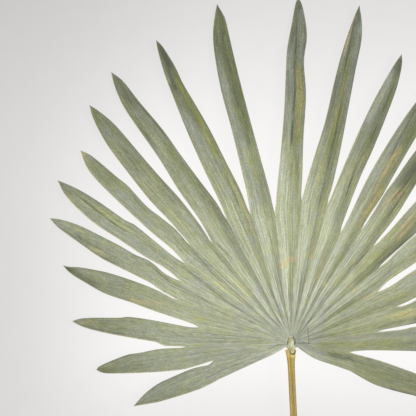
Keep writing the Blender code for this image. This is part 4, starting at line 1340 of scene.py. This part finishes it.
def make_camera():
    data = bpy.data.cameras.new("camera")
    data.sensor_width = SENSOR
    data.lens = LENS
    camera = bpy.data.objects.new("camera", data)
    middle = world(PHOTO_MIDDLE)
    camera.location = (middle.x, middle.y, CAMERA_HEIGHT)
    bpy.context.scene.collection.objects.link(camera)
    bpy.context.scene.camera = camera


def floor_brightness(g):
    x, y = g.parts(g.place())
    top = g.ramp(y, *TOP_SHADE_Y, 0.0, TOP_SHADE)
    left_end = g.plus(g.times(top, LEFT_LONGER_AT_TOP), LEFT_SHADE_X[1])
    left_depth = g.plus(g.times(top, -LEFT_WEAKER_AT_TOP), LEFT_SHADE)
    left = g.ramp(x, LEFT_SHADE_X[0], left_end, left_depth, 0.0)
    bottom = g.ramp(y, *BOTTOM_SHADE_Y, BOTTOM_SHADE, 0.0)
    bottom = g.times(bottom, g.less(1.0, g.times(left, BOTTOM_WEAKER_AT_LEFT)))
    bright = g.times(FLOOR_BRIGHT, *(g.less(1.0, shade) for shade in (left, top, bottom)))
    middle = world(PHOTO_MIDDLE)
    even = g.ramp(g.vector_math("DISTANCE", g.place(), (middle.x, middle.y, 0)), *EVEN_FROM)
    return g.plus(g.times(bright, g.less(1.0, even)), g.times(EVEN_BRIGHT, even))


def make_floor():
    bm = bmesh.new()
    corners = ((-1, -1), (1, -1), (1, 1), (-1, 1))
    bm.faces.new([bm.verts.new((x * FLOOR_HALF, y * FLOOR_HALF, 0)) for x, y in corners])
    mesh = bpy.data.meshes.new("floor")
    bm.to_mesh(mesh)
    bm.free()
    floor = bpy.data.objects.new("floor", mesh)
    bpy.context.scene.collection.objects.link(floor)
    g = Graph("pale_floor")
    grain = g.noise(g.place(), 60.0, 3.0)
    g.shader.inputs["Emission Color"].default_value = FLOOR_TINT
    g.feed(g.shader.inputs["Emission Strength"], floor_brightness(g))
    colour = g.colours(grain, FLOOR_GREYS)
    floor.data.materials.append(g.finish(colour, 0.9, g.bump(grain, 0.0002), **{"Specular IOR Level": 0.0}))


def make_light():
    data = bpy.data.lights.new("soft_light", "AREA")
    data.shape = "DISK"
    data.size = LIGHT_SIZE
    data.energy = LIGHT_POWER
    light = bpy.data.objects.new("soft_light", data)
    towards = Vector((
        math.cos(LIGHT_ELEVATION) * math.cos(LIGHT_AZIMUTH),
        math.cos(LIGHT_ELEVATION) * math.sin(LIGHT_AZIMUTH),
        math.sin(LIGHT_ELEVATION),
    ))
    light.location = world(PHOTO_MIDDLE) + towards * LIGHT_DISTANCE
    light.rotation_euler = towards.to_track_quat("Z", "Y").to_euler()
    light.visible_camera = False
    bpy.context.scene.collection.objects.link(light)
    surroundings = bpy.data.worlds.new("studio")
    surroundings.use_nodes = True
    background = surroundings.node_tree.nodes["Background"]
    background.inputs["Color"].default_value = (1, 1, 1, 1)
    background.inputs["Strength"].default_value = AMBIENT
    bpy.context.scene.world = surroundings


make_camera()
make_blade()
make_plug()
make_stem()
make_floor()
make_light()
bpy.context.scene.view_settings.view_transform = "Standard"
